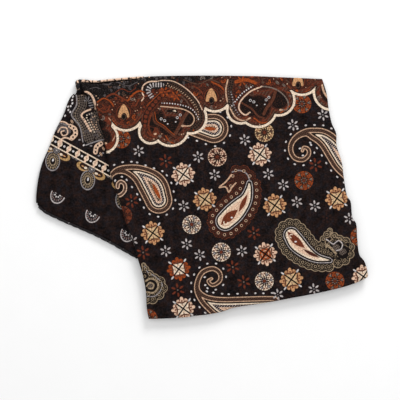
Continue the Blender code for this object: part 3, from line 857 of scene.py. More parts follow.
def scattered_ornament(taken: np.ndarray, seed: int = 11, tries: int = 5200) -> list[Spot]:
    """Small curls, leaves and dots that fill the ground of the frame between its larger motifs.

    Args:
        taken: Circles, as x, y and radius, that stay free.
        seed: Start of the random draws.
        tries: How many places are tried.

    Returns:
        The motifs.
    """
    draw = np.random.default_rng(seed)
    plan = np.stack([draw.uniform(*GROUND_X, tries), draw.uniform(*GROUND_Y, tries)], axis=1)
    rise = above_rust(plan)
    heart = edge_distance(plan, np.array(HEARTS, float))[1]
    free = edge_distance(plan, taken)[1]
    bare = (plan[:, 0] < BARE_CORNER[0]) & (plan[:, 1] > BARE_CORNER[1])
    ground = (frame_depth(plan) > LINE_ROOM) & (heart > HEART_ROOM) & (free > MOTIF_ROOM) & ~bare
    circles = [(0.0, 0.0, 1.0)]
    made = []
    for k in np.flatnonzero(ground):
        x, y = plan[k]
        mark = ORNAMENT[int(draw.integers(len(ORNAMENT)))]
        size = draw.uniform(*(DOT_SIZES if mark is Mark.DOT else ORNAMENT_SIZES))
        reach = mark.reach * size * ORNAMENT_SHARE
        tints = WARM_TINTS if rise[k] < 0.0 else COLD_TINTS
        tint = tints[int(draw.integers(len(tints)))]
        turn = draw.uniform(0.0, 360.0)
        if min(math.hypot(x - other_x, y - other_y) - radius for other_x, other_y, radius in circles) > reach:
            circles.append((x, y, reach))
            tint = Tint.PALE if mark is Mark.DOT else tint
            made.append(Spot(mark, x, y, tint, tint, turn, size, True))
    return made


def store(mesh: bpy.types.Mesh, name: str, domain: str, *columns: np.ndarray) -> None:
    """Keep columns of numbers on a mesh: three as a vector, four as a colour.

    Args:
        mesh: The mesh.
        name: Their name there.
        domain: What each row belongs to.
        columns: The numbers.
    """
    kind, key = ("FLOAT_COLOR", "color") if len(columns) == 4 else ("FLOAT_VECTOR", "vector")
    attribute = mesh.attributes.new(name, kind, domain)
    attribute.data.foreach_set(key, np.stack(columns, axis=1).astype(np.float32).ravel())


class Corners:
    """The corners of a mesh's faces, and where they and the middles of their faces lie on the cloth."""

    def __init__(self, mesh: bpy.types.Mesh, cloth: np.ndarray) -> None:
        """Read the mesh's faces.

        Args:
            mesh: The mesh.
            cloth: Where its points lie on the cloth.
        """
        self.mesh = mesh
        corner = np.empty(len(mesh.loops), np.int32)
        mesh.loops.foreach_get("vertex_index", corner)
        sizes = np.empty(len(mesh.polygons), np.int32)
        mesh.polygons.foreach_get("loop_total", sizes)
        self.face = np.repeat(np.arange(len(sizes)), sizes)
        self.places = cloth[corner]
        sums = [np.bincount(self.face, column) for column in self.places.T]
        self.centres = np.stack(sums, axis=1) / sizes[:, None]

    def nearest(self, circles: np.ndarray) -> np.ndarray:
        """For each corner, the circle whose edge is nearest to the middle of its face."""
        return edge_distance(self.centres, circles)[0][self.face]

    def store(self, name: str, *columns: np.ndarray) -> None:
        """Keep columns of numbers at the corners."""
        store(self.mesh, name, "CORNER", *columns)

    def store_tints(self, name: str, tints: Sequence[Tint], chosen: np.ndarray) -> None:
        """Keep the chosen tints at the corners."""
        self.store(name, *np.array([tint.linear for tint in tints])[chosen].T)


@dataclass
class Layout:
    """Where the print's motifs lie on one stretch of cloth."""

    spots: list[Spot]
    bands: list[Stroke]
    lines: list[Stroke]
    banded: tuple[Paisley, ...] = ()
    rust: tuple[Paisley, ...] = ()
    olive: tuple[Paisley, ...] = ()
    rust_hook: Places = ()
    olive_hook: Places = ()
    SCALLOP_PITCH = 6.6
    SCALLOP_OFFSET = 5.9
    SCALLOP_REACH = 5.0
    FILLER = 8.0
    RING_SIZE = 0.85
    DOT_PITCH = 8.8
    DOT_OFFSET = 3.2
    STROKE_SPACING = 0.6
    SEARCH = 4

    def __post_init__(self) -> None:
        """Place the dots, rings and scallops that follow each paisley's outline."""
        for body in self.banded:
            for (x, y), turn in zip(*body.outline(self.DOT_OFFSET, self.DOT_PITCH)):
                if edge_distance(np.array([(x, y)]), np.array(SPIRAL_EYES))[1][0] > 0.0:
                    self.spots.append(Spot(Mark.DOT, x, y, turn=turn))
        self.rust_scallops = self.scallops(self.rust, self.rust_hook, Tint.PALE)
        self.olive_scallops = self.scallops(self.olive, self.olive_hook, Tint.OLIVE)

    def scallops(self, bodies: Sequence[Paisley], hook: Places, tint: Tint) -> np.ndarray:
        """Make a scalloped band round paisley bodies, with a ring in each scallop.

        Args:
            bodies: The bodies.
            hook: Circles where the band hooks over the tip.
            tint: The rings' colour.

        Returns:
            The band's circles.
        """
        circles = [tuple(map(float, row)) for row in hook]
        for body in bodies:
            rim = body.outline(self.SCALLOP_OFFSET, self.SCALLOP_PITCH)[0]
            circles += [(x, y, self.SCALLOP_REACH) for x, y in rim]
        for x, y, radius in circles:
            if radius < self.FILLER:
                self.spots.append(Spot(Mark.RING, x, y, tint, Tint.BLACK, size=self.RING_SIZE))
        return np.array(circles)

    def write(self, mesh: bpy.types.Mesh, cloth: np.ndarray) -> None:
        """Store on a mesh how far its points are from each motif.

        Args:
            mesh: The cloth's mesh.
            cloth: Where its points lie on the cloth.
        """
        flat = np.zeros(len(cloth))
        store(mesh, "cloth", "POINT", cloth[:, 0], cloth[:, 1], flat)
        if self.banded:
            groups = (self.banded, self.rust, self.olive)
            bodies = [np.vstack([body.samples() for body in group]) for group in groups]
            store(mesh, "paisley", "POINT", *(edge_distance(cloth, circles)[1] for circles in bodies))
            scallops = (self.rust_scallops, self.olive_scallops)
            store(mesh, "scallop", "POINT", *(edge_distance(cloth, circles)[1] for circles in scallops), flat)
            heart = edge_distance(cloth, np.array(HEARTS, float))[1]
            store(mesh, "frame", "POINT", frame_depth(cloth), heart, above_rust(cloth))

        corners = Corners(mesh, cloth)
        reach = np.array([(s.x, s.y, s.mark.reach * s.size) for s in self.spots])
        chosen = corners.nearest(reach)
        turn, size = np.array([(s.turn, s.size) for s in self.spots])[chosen].T
        offset = turned((corners.places - reach[chosen, :2]) / size[:, None], -turn)
        kind = np.array([s.mark.number * (-1 if s.framed else 1) for s in self.spots], float)[chosen]
        corners.store("spot", *offset.T, kind)
        corners.store_tints("outer", [s.outer for s in self.spots], chosen)
        corners.store_tints("inner", [s.inner for s in self.spots], chosen)
        self.write_strokes(corners, "band", self.bands)
        self.write_strokes(corners, "line", self.lines)

    def write_strokes(self, corners: Corners, name: str, layer: list[Stroke]) -> None:
        """Store how far each face's corners are across and along its nearest printed line.

        Args:
            corners: The corners.
            name: The layer's name in the mesh.
            layer: Its lines.
        """
        rows, owner = [], []
        for number, stroke in enumerate(layer):
            s, places, headings = Line(stroke.places).sampled(self.STROKE_SPACING)
            swell = np.sqrt(np.sin(math.pi * s / s[-1]) ** 2 + 0.001) if stroke.leaf else np.ones(len(s))
            length = np.full(len(s), s[-1])
            rows.append(np.column_stack([places[:, :2], stroke.half * swell, headings, s, length]))
            owner += [number] * len(s)
        table, owner = np.vstack(rows), np.array(owner)
        first = np.searchsorted(owner, owner, "left")
        last = np.searchsorted(owner, owner, "right") - 1
        start = corners.nearest(table[:, :3])
        best, nearest = start.copy(), np.full(len(start), np.inf)
        for shift in range(-self.SEARCH, self.SEARCH + 1):
            sample = np.clip(start + shift, first[start], last[start])
            gap = np.hypot(*(corners.places - table[sample, :2]).T)
            best = np.where(gap < nearest, sample, best)
            nearest = np.minimum(gap, nearest)
        x, y, half, way_x, way_y, s, length = table[best].T
        off_x, off_y = corners.places[:, 0] - x, corners.places[:, 1] - y
        along = s + off_x * way_x + off_y * way_y
        past = np.maximum(np.maximum(-along, along - length), 0.0)
        corners.store(name, off_y * way_x - off_x * way_y, past, along)
        fills = np.array([(stroke.pattern.value, -1.0 if stroke.framed else 1.0) for stroke in layer], float)
        pattern, sign = fills[owner[best]].T
        corners.store(f"{name}_fill", pattern, half, sign)
        corners.store_tints(f"{name}_tint", [stroke.tint for stroke in layer], owner[best])


def strokes(rows: Sequence[tuple], **more: bool) -> list[Stroke]:
    """Printed lines from rows of places, half width, tint and, where it isn't plain, pattern."""
    return [Stroke(*row, **more) for row in rows]


def centre_layout() -> Layout:
    """The print of the square's centre and of the scalloped frame above it.

    Returns:
        The print.
    """
    framed, frame_spots = strokes(FRAME_STROKES, framed=True), spots(FRAME_SPOTS, framed=True)
    taken = [(s.x, s.y, s.mark.reach) for s in frame_spots]
    for stroke in framed + strokes(FRAME_BANDS):
        taken += [(x, y, stroke.half + STROKE_ROOM) for x, y in Line(stroke.places).sampled(2.0)[1]]
    return Layout(
        spots(FIELD_SPOTS) + frame_spots + scattered_ornament(np.array(taken, float)),
        strokes(FRAME_BANDS, framed=True) + strokes(LEAVES, leaf=True), framed + strokes(FIELD_STROKES),
        BANDED_PAISLEYS, (RUST_PAISLEY,), OLIVE_PAISLEYS, RUST_HOOK, OLIVE_HOOK,
    )


# The border's strip runs down the wing. Its own axes: u along it, v across it.
BORDER_TURN = -28.65
BORDER_PERIOD = 40.0
BORDER_COUNT = 4
PENDANT_AT = (-150.5, -27.6)
SHELL_AT = (-128.3, -66.2)
SHELL_SIZE = 0.95
SHELL_LEAN = 5.0
STRIP_LINES = (-16.3, -25.1)
STRIP_PITCH = 10.03
STRIP_PHASE = -150.5
# The wing's small motifs. Columns: kind, outer tint, inner tint, turn, size, places.
WING_SPOTS = (
    (Mark.DOT, Tint.WHITE, Tint.WHITE, 60.0, 1.0, (
        (-129.1, 101.6), (-129.9, 98.2), (-129.6, 94.9), (-131.4, 92), (-134, 91.6), (-133.6, 88.2),
        (-131.8, 86.2), (-137, 82.4), (-118.2, 53),
    )),
    (Mark.DOT, Tint.GREY, Tint.GREY, PRINT_TURN, 1.0, (
        (-111, 52.2), (-122.5, 58.3), (-128, 79), (-99, 45), (-103, 42.5),
    )),
    (Mark.LEAFLET, Tint.PALE, Tint.PALE, 120.0, 0.8, ((-98.5, 49.5), (-101, 44), (-130, 76.5))),
    (Mark.CURL, Tint.DIM_GREY, Tint.DIM_GREY, PRINT_TURN, 0.8, (
        (-112, 83), (-110, 78.5), (-115, 66), (-106, 62), (-103, 84), (-104, 66), (-108, 99),
    )),
)
WING_BANDS = (
    (((-121, 105), (-120, 94), (-124.5, 82.5), (-117, 71), (-113, 60)), 5.0, Tint.LACE_TAN, Pattern.LACE),
    (((-104, 84), (-108, 76), (-104, 64), (-101, 60)), 4.6, Tint.LACE_TAN, Pattern.LACE),
    (((-118, 95), (-116.5, 99.5), (-112, 98.5), (-110.5, 92.5)), 2.6, Tint.GREY, Pattern.COMB),
    (((-143, 69), (-138, 71), (-134, 67)), 3.0, Tint.DIM_GREY),
)
WING_STROKES = (
    (((-126.5, 109.4), (-125.4, 94), (-130.5, 83), (-122.5, 72.6), (-119, 56)), 0.55, Tint.GREY),
    (((-111.6, 88.7), (-117, 86.5), (-120.6, 83), (-118.5, 79)), 0.85, Tint.CREAM),
    (((-118.3, 79), (-114.5, 72.6), (-110.5, 66)), 1.25, Tint.CREAM, Pattern.CHAIN),
    (((-110, 85), (-115.5, 82), (-112, 74), (-107, 65)), 0.65, Tint.LIGHT, Pattern.CHAIN),
    (((-120, 103.6), (-115, 106), (-110, 102.5), (-107, 96), (-106.4, 89.3)), 0.9, Tint.CREAM),
    (((-116, 53), (-107, 56.3), (-98, 58.7)), 0.6, Tint.GREY),
    (((-131.5, 72), (-127.2, 69), (-126.5, 64), (-130, 60)), 2.3, Tint.CREAM, Pattern.PEARLS),
    (((-146, 76.5), (-138, 76.2), (-132.5, 72.8)), 0.7, Tint.CREAM),
    (((-144, 56), (-137, 60.5), (-130.5, 58.3)), 0.8, Tint.CREAM),
    (((-144, 66), (-141, 70.5), (-135.5, 70), (-134.5, 64.5), (-139, 62.5), (-141, 66), (-138, 67.5)),
     0.6, Tint.CREAM),
    (((-147, 71), (-141, 74.5), (-134, 73)), 0.4, Tint.GREY),
    (((-124, 100), (-123, 92), (-127, 83), (-120.5, 71.5), (-117, 60)), 0.45, Tint.OLIVE, Pattern.CHAIN),
    (((-102, 80), (-106, 74), (-101, 62)), 0.5, Tint.PALE, Pattern.CHAIN),
    (((-101, 54.5), (-105.3, 51.5), (-106.5, 46)), 2.3, Tint.CREAM, Pattern.PEARLS),
    (((-107, 82), (-111, 78), (-105, 66)), 0.7, Tint.PALE, Pattern.CHAIN),
)


def border_row(u: float, v: float) -> list[list[float]]:
    """Places in plan at the border's period, from the first one's in the border's own axes."""
    row = [(u + BORDER_PERIOD * k, v) for k in range(BORDER_COUNT)]
    return turned(np.array(row), BORDER_TURN).tolist()


def border_layout() -> Layout:
    """The print of the square's border: strip, pendants, shells and lace.

    Returns:
        The print.
    """
    rows = (
        (Mark.PENDANT, Tint.GOLD, Tint.GREY, BORDER_TURN, 1.0, border_row(*PENDANT_AT)),
        (Mark.SHELL, Tint.SILVER, Tint.GREY, BORDER_TURN + SHELL_LEAN, SHELL_SIZE, border_row(*SHELL_AT)),
    )
    return Layout(spots(rows + WING_SPOTS), strokes(WING_BANDS), strokes(WING_STROKES))


class Value:
    """A number in a material's nodes; arithmetic on it adds Math nodes."""

    # Whole repeats added before a remainder is taken, because the node turns it round below 0.
    REPEATS = 100

    def __init__(self, tree: bpy.types.NodeTree, socket: Socket) -> None:
        """Hold the socket that carries the number."""
        self.tree = tree
        self.socket = socket

    def math(self, operation: str, *others: "Value | float", clamp: bool = False) -> "Value":
        """Add one Math node that starts from this value.

        Args:
            operation: The node's operation.
            others: The terms after this one.
            clamp: Whether the result is kept from 0 to 1.

        Returns:
            The result.
        """
        node = self.tree.nodes.new("ShaderNodeMath")
        node.operation = operation
        node.use_clamp = clamp
        for place, term in enumerate((self, *others)):
            if isinstance(term, Value):
                self.tree.links.new(term.socket, node.inputs[place])
            else:
                node.inputs[place].default_value = term
        return Value(self.tree, node.outputs[0])

    def __add__(self, other: "Value | float") -> "Value":
        """Sum."""
        return self.math("ADD", other)

    def __sub__(self, other: "Value | float") -> "Value":
        """Difference."""
        return self.math("SUBTRACT", other)

    def __mul__(self, other: "Value | float") -> "Value":
        """Product, and where both masks are set."""
        return self.math("MULTIPLY", other)

    def __truediv__(self, other: "Value | float") -> "Value":
        """Quotient."""
        return self.math("DIVIDE", other)

    def __neg__(self) -> "Value":
        """The value with its sign turned."""
        return self.math("MULTIPLY", -1.0)

    def __abs__(self) -> "Value":
        """The value without its sign."""
        return self.math("ABSOLUTE")

    def __or__(self, other: "Value") -> "Value":
        """Where either mask is set."""
        return self.math("MAXIMUM", other)

    def __invert__(self) -> "Value":
        """Where the mask isn't set."""
        return self.math("MULTIPLY_ADD", -1.0, 1.0)

    def sine(self) -> "Value":
        """Sine of this angle."""
        return self.math("SINE")

    def every(self, pitch: float, phase: float = 0.0) -> "Value":
        """Distance from the middle of the nearest of repeats at this pitch."""
        return (self - (phase - pitch * (self.REPEATS + 0.5))).math("MODULO", pitch) - pitch / 2.0

    def hypot(self, other: "Value") -> "Value":
        """Length of the vector of both."""
        return (self * self + other * other).math("SQRT")

    def equals(self, number: float) -> "Value":
        """1 where the value is that number."""
        return self.math("COMPARE", number, 0.5)


PRINT_BLUR = 0.4


def inside(distance: Value) -> Value:
    """Mask that is 1 where a distance to an edge is below 0, a little blurred as print is."""
    return distance.math("MULTIPLY_ADD", -1.0 / PRINT_BLUR, 0.5, clamp=True)


def stripe(value: Value, middle: float, half: float) -> Value:
    """Mask of a stripe."""
    return inside(abs(value - middle) - half)


def bars(value: Value, pitch: float, half: float) -> Value:
    """Mask of stripes at a pitch."""
    return inside(abs(value.every(pitch)) - half)


def ovals(x: Value, y: Value, *rows: tuple[float, float, float, float]) -> Value:
    """Mask of ellipses.

    Args:
        x: The first axis.
        y: The second axis.
        rows: Columns: middle along x and y, half width along x and y.

    Returns:
        The mask.
    """
    masks = []
    for middle_x, middle_y, half_x, half_y in rows:
        length = ((x - middle_x) / half_x).hypot((y - middle_y) / half_y)
        masks.append(inside((length - 1.0) * min(half_x, half_y)))
    return reduce(Value.__or__, masks)


def shown_where(side: Value, masks: tuple[Value, ...]) -> Value:
    """Where a motif shows: in the field if its side is above 0, in the frame if it is below."""
    halves = inside(-side), inside(side)
    return reduce(Value.__or__, [half * mask for half, mask in zip(halves, masks)] or halves)


class Shading:
    """A new material and its nodes, with colours laid over one another."""

    def __init__(self, name: str) -> None:
        """Make the material.

        Args:
            name: Its name.
        """
        self.material = bpy.data.materials.new(name)
        self.material.use_nodes = True
        self.tree = self.material.node_tree
        self.shader = self.tree.nodes["Principled BSDF"]
        self.colour = (0.0, 0.0, 0.0, 1.0)

    def feed(self, node: bpy.types.Node, **inputs: "Value | Socket | float | tuple") -> None:
        """Link or set a node's inputs.

        Args:
            node: The node.
            inputs: The terms by name, with an underscore for each space.
        """
        for name, term in inputs.items():
            socket = node.inputs[name.replace("_", " ")]
            if isinstance(term, (Value, Socket)):
                self.tree.links.new(term.socket if isinstance(term, Value) else term, socket)
            else:
                socket.default_value = term

    def node(self, kind: str, **inputs: "Value | Socket | float | tuple") -> bpy.types.Node:
        """Add a node with its inputs.

        Args:
            kind: The node's type.
            inputs: The terms by name, with an underscore for each space.

        Returns:
            The node.
        """
        made = self.tree.nodes.new(f"ShaderNode{kind}")
        self.feed(made, **inputs)
        return made

    def mix(
        self, factor: "Value | float", first: "Socket | tuple", second: "Socket | tuple | Value",
        blend: str = "MIX",
    ) -> Socket:
        """Mix two colours.

        Args:
            factor: The second one's share.
            first: A colour.
            second: The other.
            blend: How they are mixed.

        Returns:
            The mixed colour.
        """
        made = self.node("Mix")
        made.data_type = "RGBA"
        made.blend_type = blend
        self.feed(made, Factor=factor, A=first, B=second)
        return made.outputs["Result"]

    def lay(self, *layers: "tuple[Value, Tint | Socket]") -> None:
        """Lay colours over the ones before, in turn, where their masks are set."""
        for mask, colour in layers:
            self.colour = self.mix(mask, self.colour, colour.linear if isinstance(colour, Tint) else colour)

    def split(self, vector: Socket) -> list[Value]:
        """The three numbers of a vector."""
        return [Value(self.tree, part) for part in self.node("SeparateXYZ", Vector=vector).outputs]

    def held(self, name: str, output: str = "Vector") -> Socket:
        """What a mesh holds under a name.

        Args:
            name: The name.
            output: Which output carries it.

        Returns:
            The socket that carries it.
        """
        attribute = self.node("Attribute")
        attribute.attribute_name = name
        return attribute.outputs[output]

    def read(self, name: str) -> list[Value]:
        """The three numbers that a mesh holds under a name."""
        return self.split(self.held(name))

    def noise(self, scale: float, detail: float, place: "Socket | None" = None) -> Value:
        """Cloudy noise from 0 to 1, on the cloth or at a place."""
        vector = self.held("cloth") if place is None else place
        return Value(self.tree, self.node("TexNoise", Scale=scale, Detail=detail, Vector=vector).outputs[0])

    def bump(self, **inputs: Value | float) -> Socket:
        """Normals turned by a height."""
        return self.node("Bump", **inputs).outputs["Normal"]


@dataclass
class Motif:
    """A small motif's own axes in a material, its colours and where it shows."""

    ink: Shading
    x: Value
    y: Value
    outer: Socket
    inner: Socket
    shown: Value

    def __post_init__(self) -> None:
        """Work out the polar axes."""
        self.radius = self.x.hypot(self.y)
        self.angle = self.y.math("ARCTAN2", self.x)

    def fold(self, count: int) -> tuple[Value, Value]:
        """Axes of the nearest of so many equal rays: along it and across it."""
        angle = self.angle.every(2.0 * math.pi / count)
        return self.radius * angle.math("COSINE"), self.radius * angle.math("SINE")

    def lay(self, *layers: "tuple[Value, Tint | Socket]") -> None:
        """Lay colours in turn where their masks are set and the motif shows."""
        self.ink.lay(*((mask * self.shown, colour) for mask, colour in layers))

    def disc(self, radius: float, colour: "Tint | Socket") -> None:
        """Lay a disc in the middle."""
        self.lay((inside(self.radius - radius), colour))

    def petals(self, count: int, far: float, halves: tuple[float, float], colour: "Tint | Socket") -> None:
        """Lay so many ovals round the middle."""
        self.lay((ovals(*self.fold(count), (far, 0.0, *halves)), colour))

    def draw_star(self) -> None:
        """Six petals round a small eye."""
        self.petals(6, 3.9, (1.8, 0.86), self.outer)
        self.disc(0.6, self.inner)

    def draw_flower(self) -> None:
        """Four crowned petals parted by a dark cross, with a drop beyond each arm of it."""
        along, across = self.fold(4)
        side = abs(across)
        diagonal, off = (along + side) * 0.7071, (along - side) * 0.7071
        self.lay(
            (ovals(along, side, (10.2, 0, 1.8, 1.6), (7.4, 3.7, 2.3, 2.0), (7.4, 0, 2.2, 4.0)), self.outer),
            (inside(along - 5.4) * inside(side - 4.6), self.inner),
            (stripe(along - side * 0.35, 5.7, 0.75) * inside(side - 4.0), Tint.UMBER),
            (ovals(along, side, (7.8, 0.0, 1.0, 0.8), (8.7, 2.3, 1.2, 0.5), (6.9, 4.6, 0.9, 0.5)), Tint.RUST),
            (ovals(along, side, (5.4, 0.0, 2.1, 0.45)), Tint.BROWN),
            (ovals(along, side, (3.3, 0.0, 0.5, 1.5)), Tint.PALE),
            (inside(off - 0.75) * inside(self.radius - 12.0), Tint.BLACK),
            (ovals(diagonal, off, (10.8, 0.0, 1.8, 0.8)), Tint.WHITE),
        )

    def draw_rosette(self) -> None:
        """A disc with a beaded eye."""
        along, across = self.fold(6)
        far = along * 0.866 + abs(across) * 0.5
        off = abs(along * 0.5 - abs(across) * 0.866)
        self.disc(9.3, self.outer)
        self.lay(
            (ovals(along, across, (6.9, 0.0, 1.7, 1.5)), self.inner),
            (ovals(far, off, (7.5, 1.1, 1.0, 0.7)), Tint.RUST),
            (ovals(far, off, (5.7, 0.0, 1.0, 0.6)), Tint.RUST),
            (stripe(off, 2.3, 0.4) * stripe(self.radius, 7.2, 2.2), Tint.DEEP_BROWN),
            (ovals(along, across, (8.9, 0.0, 0.9, 0.6)), Tint.BROWN),
        )
        self.disc(5.0, Tint.DEEP_BROWN)
        self.petals(11, 4.2, (0.7, 0.45), self.outer)
        self.petals(7, 2.5, (0.7, 0.5), self.inner)
        self.petals(5, 1.0, (0.9, 0.5), Tint.RUST)

    def draw_dot(self) -> None:
        """A small bead, longer along its line."""
        self.lay((ovals(self.x, self.y, (0.0, 0.0, 1.15, 0.8)), self.outer))

    def draw_ring(self) -> None:
        """A ring with a dark eye."""
        self.disc(1.75, self.outer)
        self.disc(1.1, self.inner)

    def draw_curl(self) -> None:
        """A hook that ends in a bead."""
        arc = stripe(self.radius, 2.3, 0.55) * ~inside((self.x * 0.7 + self.y * 0.9) + 0.9)
        self.lay(
            (arc | ovals(self.x, self.y, (-2.1, 1.0, 0.95, 0.95)), self.outer),
            (ovals(self.x, self.y, (0.3, 0.2, 0.8, 0.6)), self.inner),
        )

    def draw_leaflet(self) -> None:
        """A pointed leaf with a vein."""
        leaf = inside(abs(self.y) + self.x * self.x * 0.13 - 1.3)
        self.lay((leaf, self.outer), (leaf * inside(abs(self.y) - 0.3), Tint.DEEP_BROWN))

    def draw_teardrop(self) -> None:
        """A pale drop over a dark pool, ringed in rust."""
        pool = self.x.hypot((self.y + 0.6) * 0.92)
        drop = (self.x * (self.y * 0.07 + 1.05)).hypot(self.y * 0.66)
        eye = self.x.hypot((self.y + 4.9) * 0.8)
        self.lay(
            (inside(pool - 8.6), Tint.DARK_RUST),
            (inside(pool - 7.9), Tint.DEEP_BROWN),
            (stripe(pool, 6.9, 0.4), self.inner),
            (inside(drop - 5.0) * inside(-self.y - 5.6), self.outer),
            (ovals(self.x, self.y, (0.4, -5.0, 2.9, 4.0)), Tint.BLACK),
            (stripe(eye, 2.1, 0.3), Tint.BROWN),
        )

    def draw_pendant(self) -> None:
        """Two gold petals round a ringed eye, with a laced drop below."""
        side = abs(self.x)
        low, below = inside(self.y - 1.8), inside(self.y + 3.4)
        petal = ((side - 9.2) / 6.6).hypot((self.y + 1.8) / 4.2)
        leaning = self.x + (self.y + 3.0) * 0.2
        drop = leaning.hypot((self.y + 11.5) * 0.8)
        turn = (self.y + 10.0).math("ARCTAN2", leaning).every(math.pi / 10.0)
        ribs = inside(abs(turn * drop) - 0.4) * (stripe(drop, 5.3, 0.8) | stripe(drop, 3.3, 0.6))
        self.lay(
            (stripe(petal, 1.5, 0.06) * low * inside(-self.y + 0.5), self.inner),
            (inside((petal - 1.0) * 4.2) * low, self.outer),
            (ovals(side, self.y, (7.9, -1.0, 5.1, 3.2)) * low, Tint.DEEP_BROWN),
            (ovals(side, self.y, (6.0, -1.7, 1.7, 1.2)) * low, Tint.LIGHT),
            (ovals(side, self.y, (9.4, -1.5, 1.5, 0.6)) * low, Tint.TAN),
            (inside(drop - 7.6) * below, Tint.BLACK),
            (stripe(drop, 7.2, 0.5) * below, self.inner),
            (ribs * below, Tint.OLIVE),
            (ovals(leaning, self.y, (0.0, -10.5, 0.9, 1.6)), Tint.WHITE),
            (inside(self.radius - 3.6) * low, Tint.BLACK),
            (stripe(self.radius, 3.0, 0.3) * low, self.inner),
            (stripe(self.radius, 1.6, 0.3), Tint.GREY),
            (inside(self.radius - 0.6), Tint.WHITE),
        )

    def draw_shell(self) -> None:
        """Half a disc of ribs in a pale rim, open above."""
        reach = self.x.hypot(self.y * 0.8)
        low = inside(self.y - 0.8 + self.x * 0.1)
        self.lay(
            (stripe(reach - self.x * 0.06, 7.3, 0.5) * low, self.outer),
            (inside(abs(self.fold(18)[1]) - 0.4) * stripe(reach, 5.1, 0.9) * low, self.inner),
            (ovals(*self.fold(14), (5.9, 0.0, 0.5, 0.5)) * low, Tint.RUST),
            (ovals(*self.fold(7), (2.7, 0.0, 0.9, 0.7)) * low, Tint.WHITE),
        )


DRAWINGS = {mark: getattr(Motif, f"draw_{mark.name.lower()}") for mark in Mark}
BORDER_MARKS = (Mark.DOT, Mark.CURL, Mark.LEAFLET, Mark.PENDANT, Mark.SHELL)
CENTRE_MARKS = tuple(mark for mark in Mark if mark not in (Mark.PENDANT, Mark.SHELL))


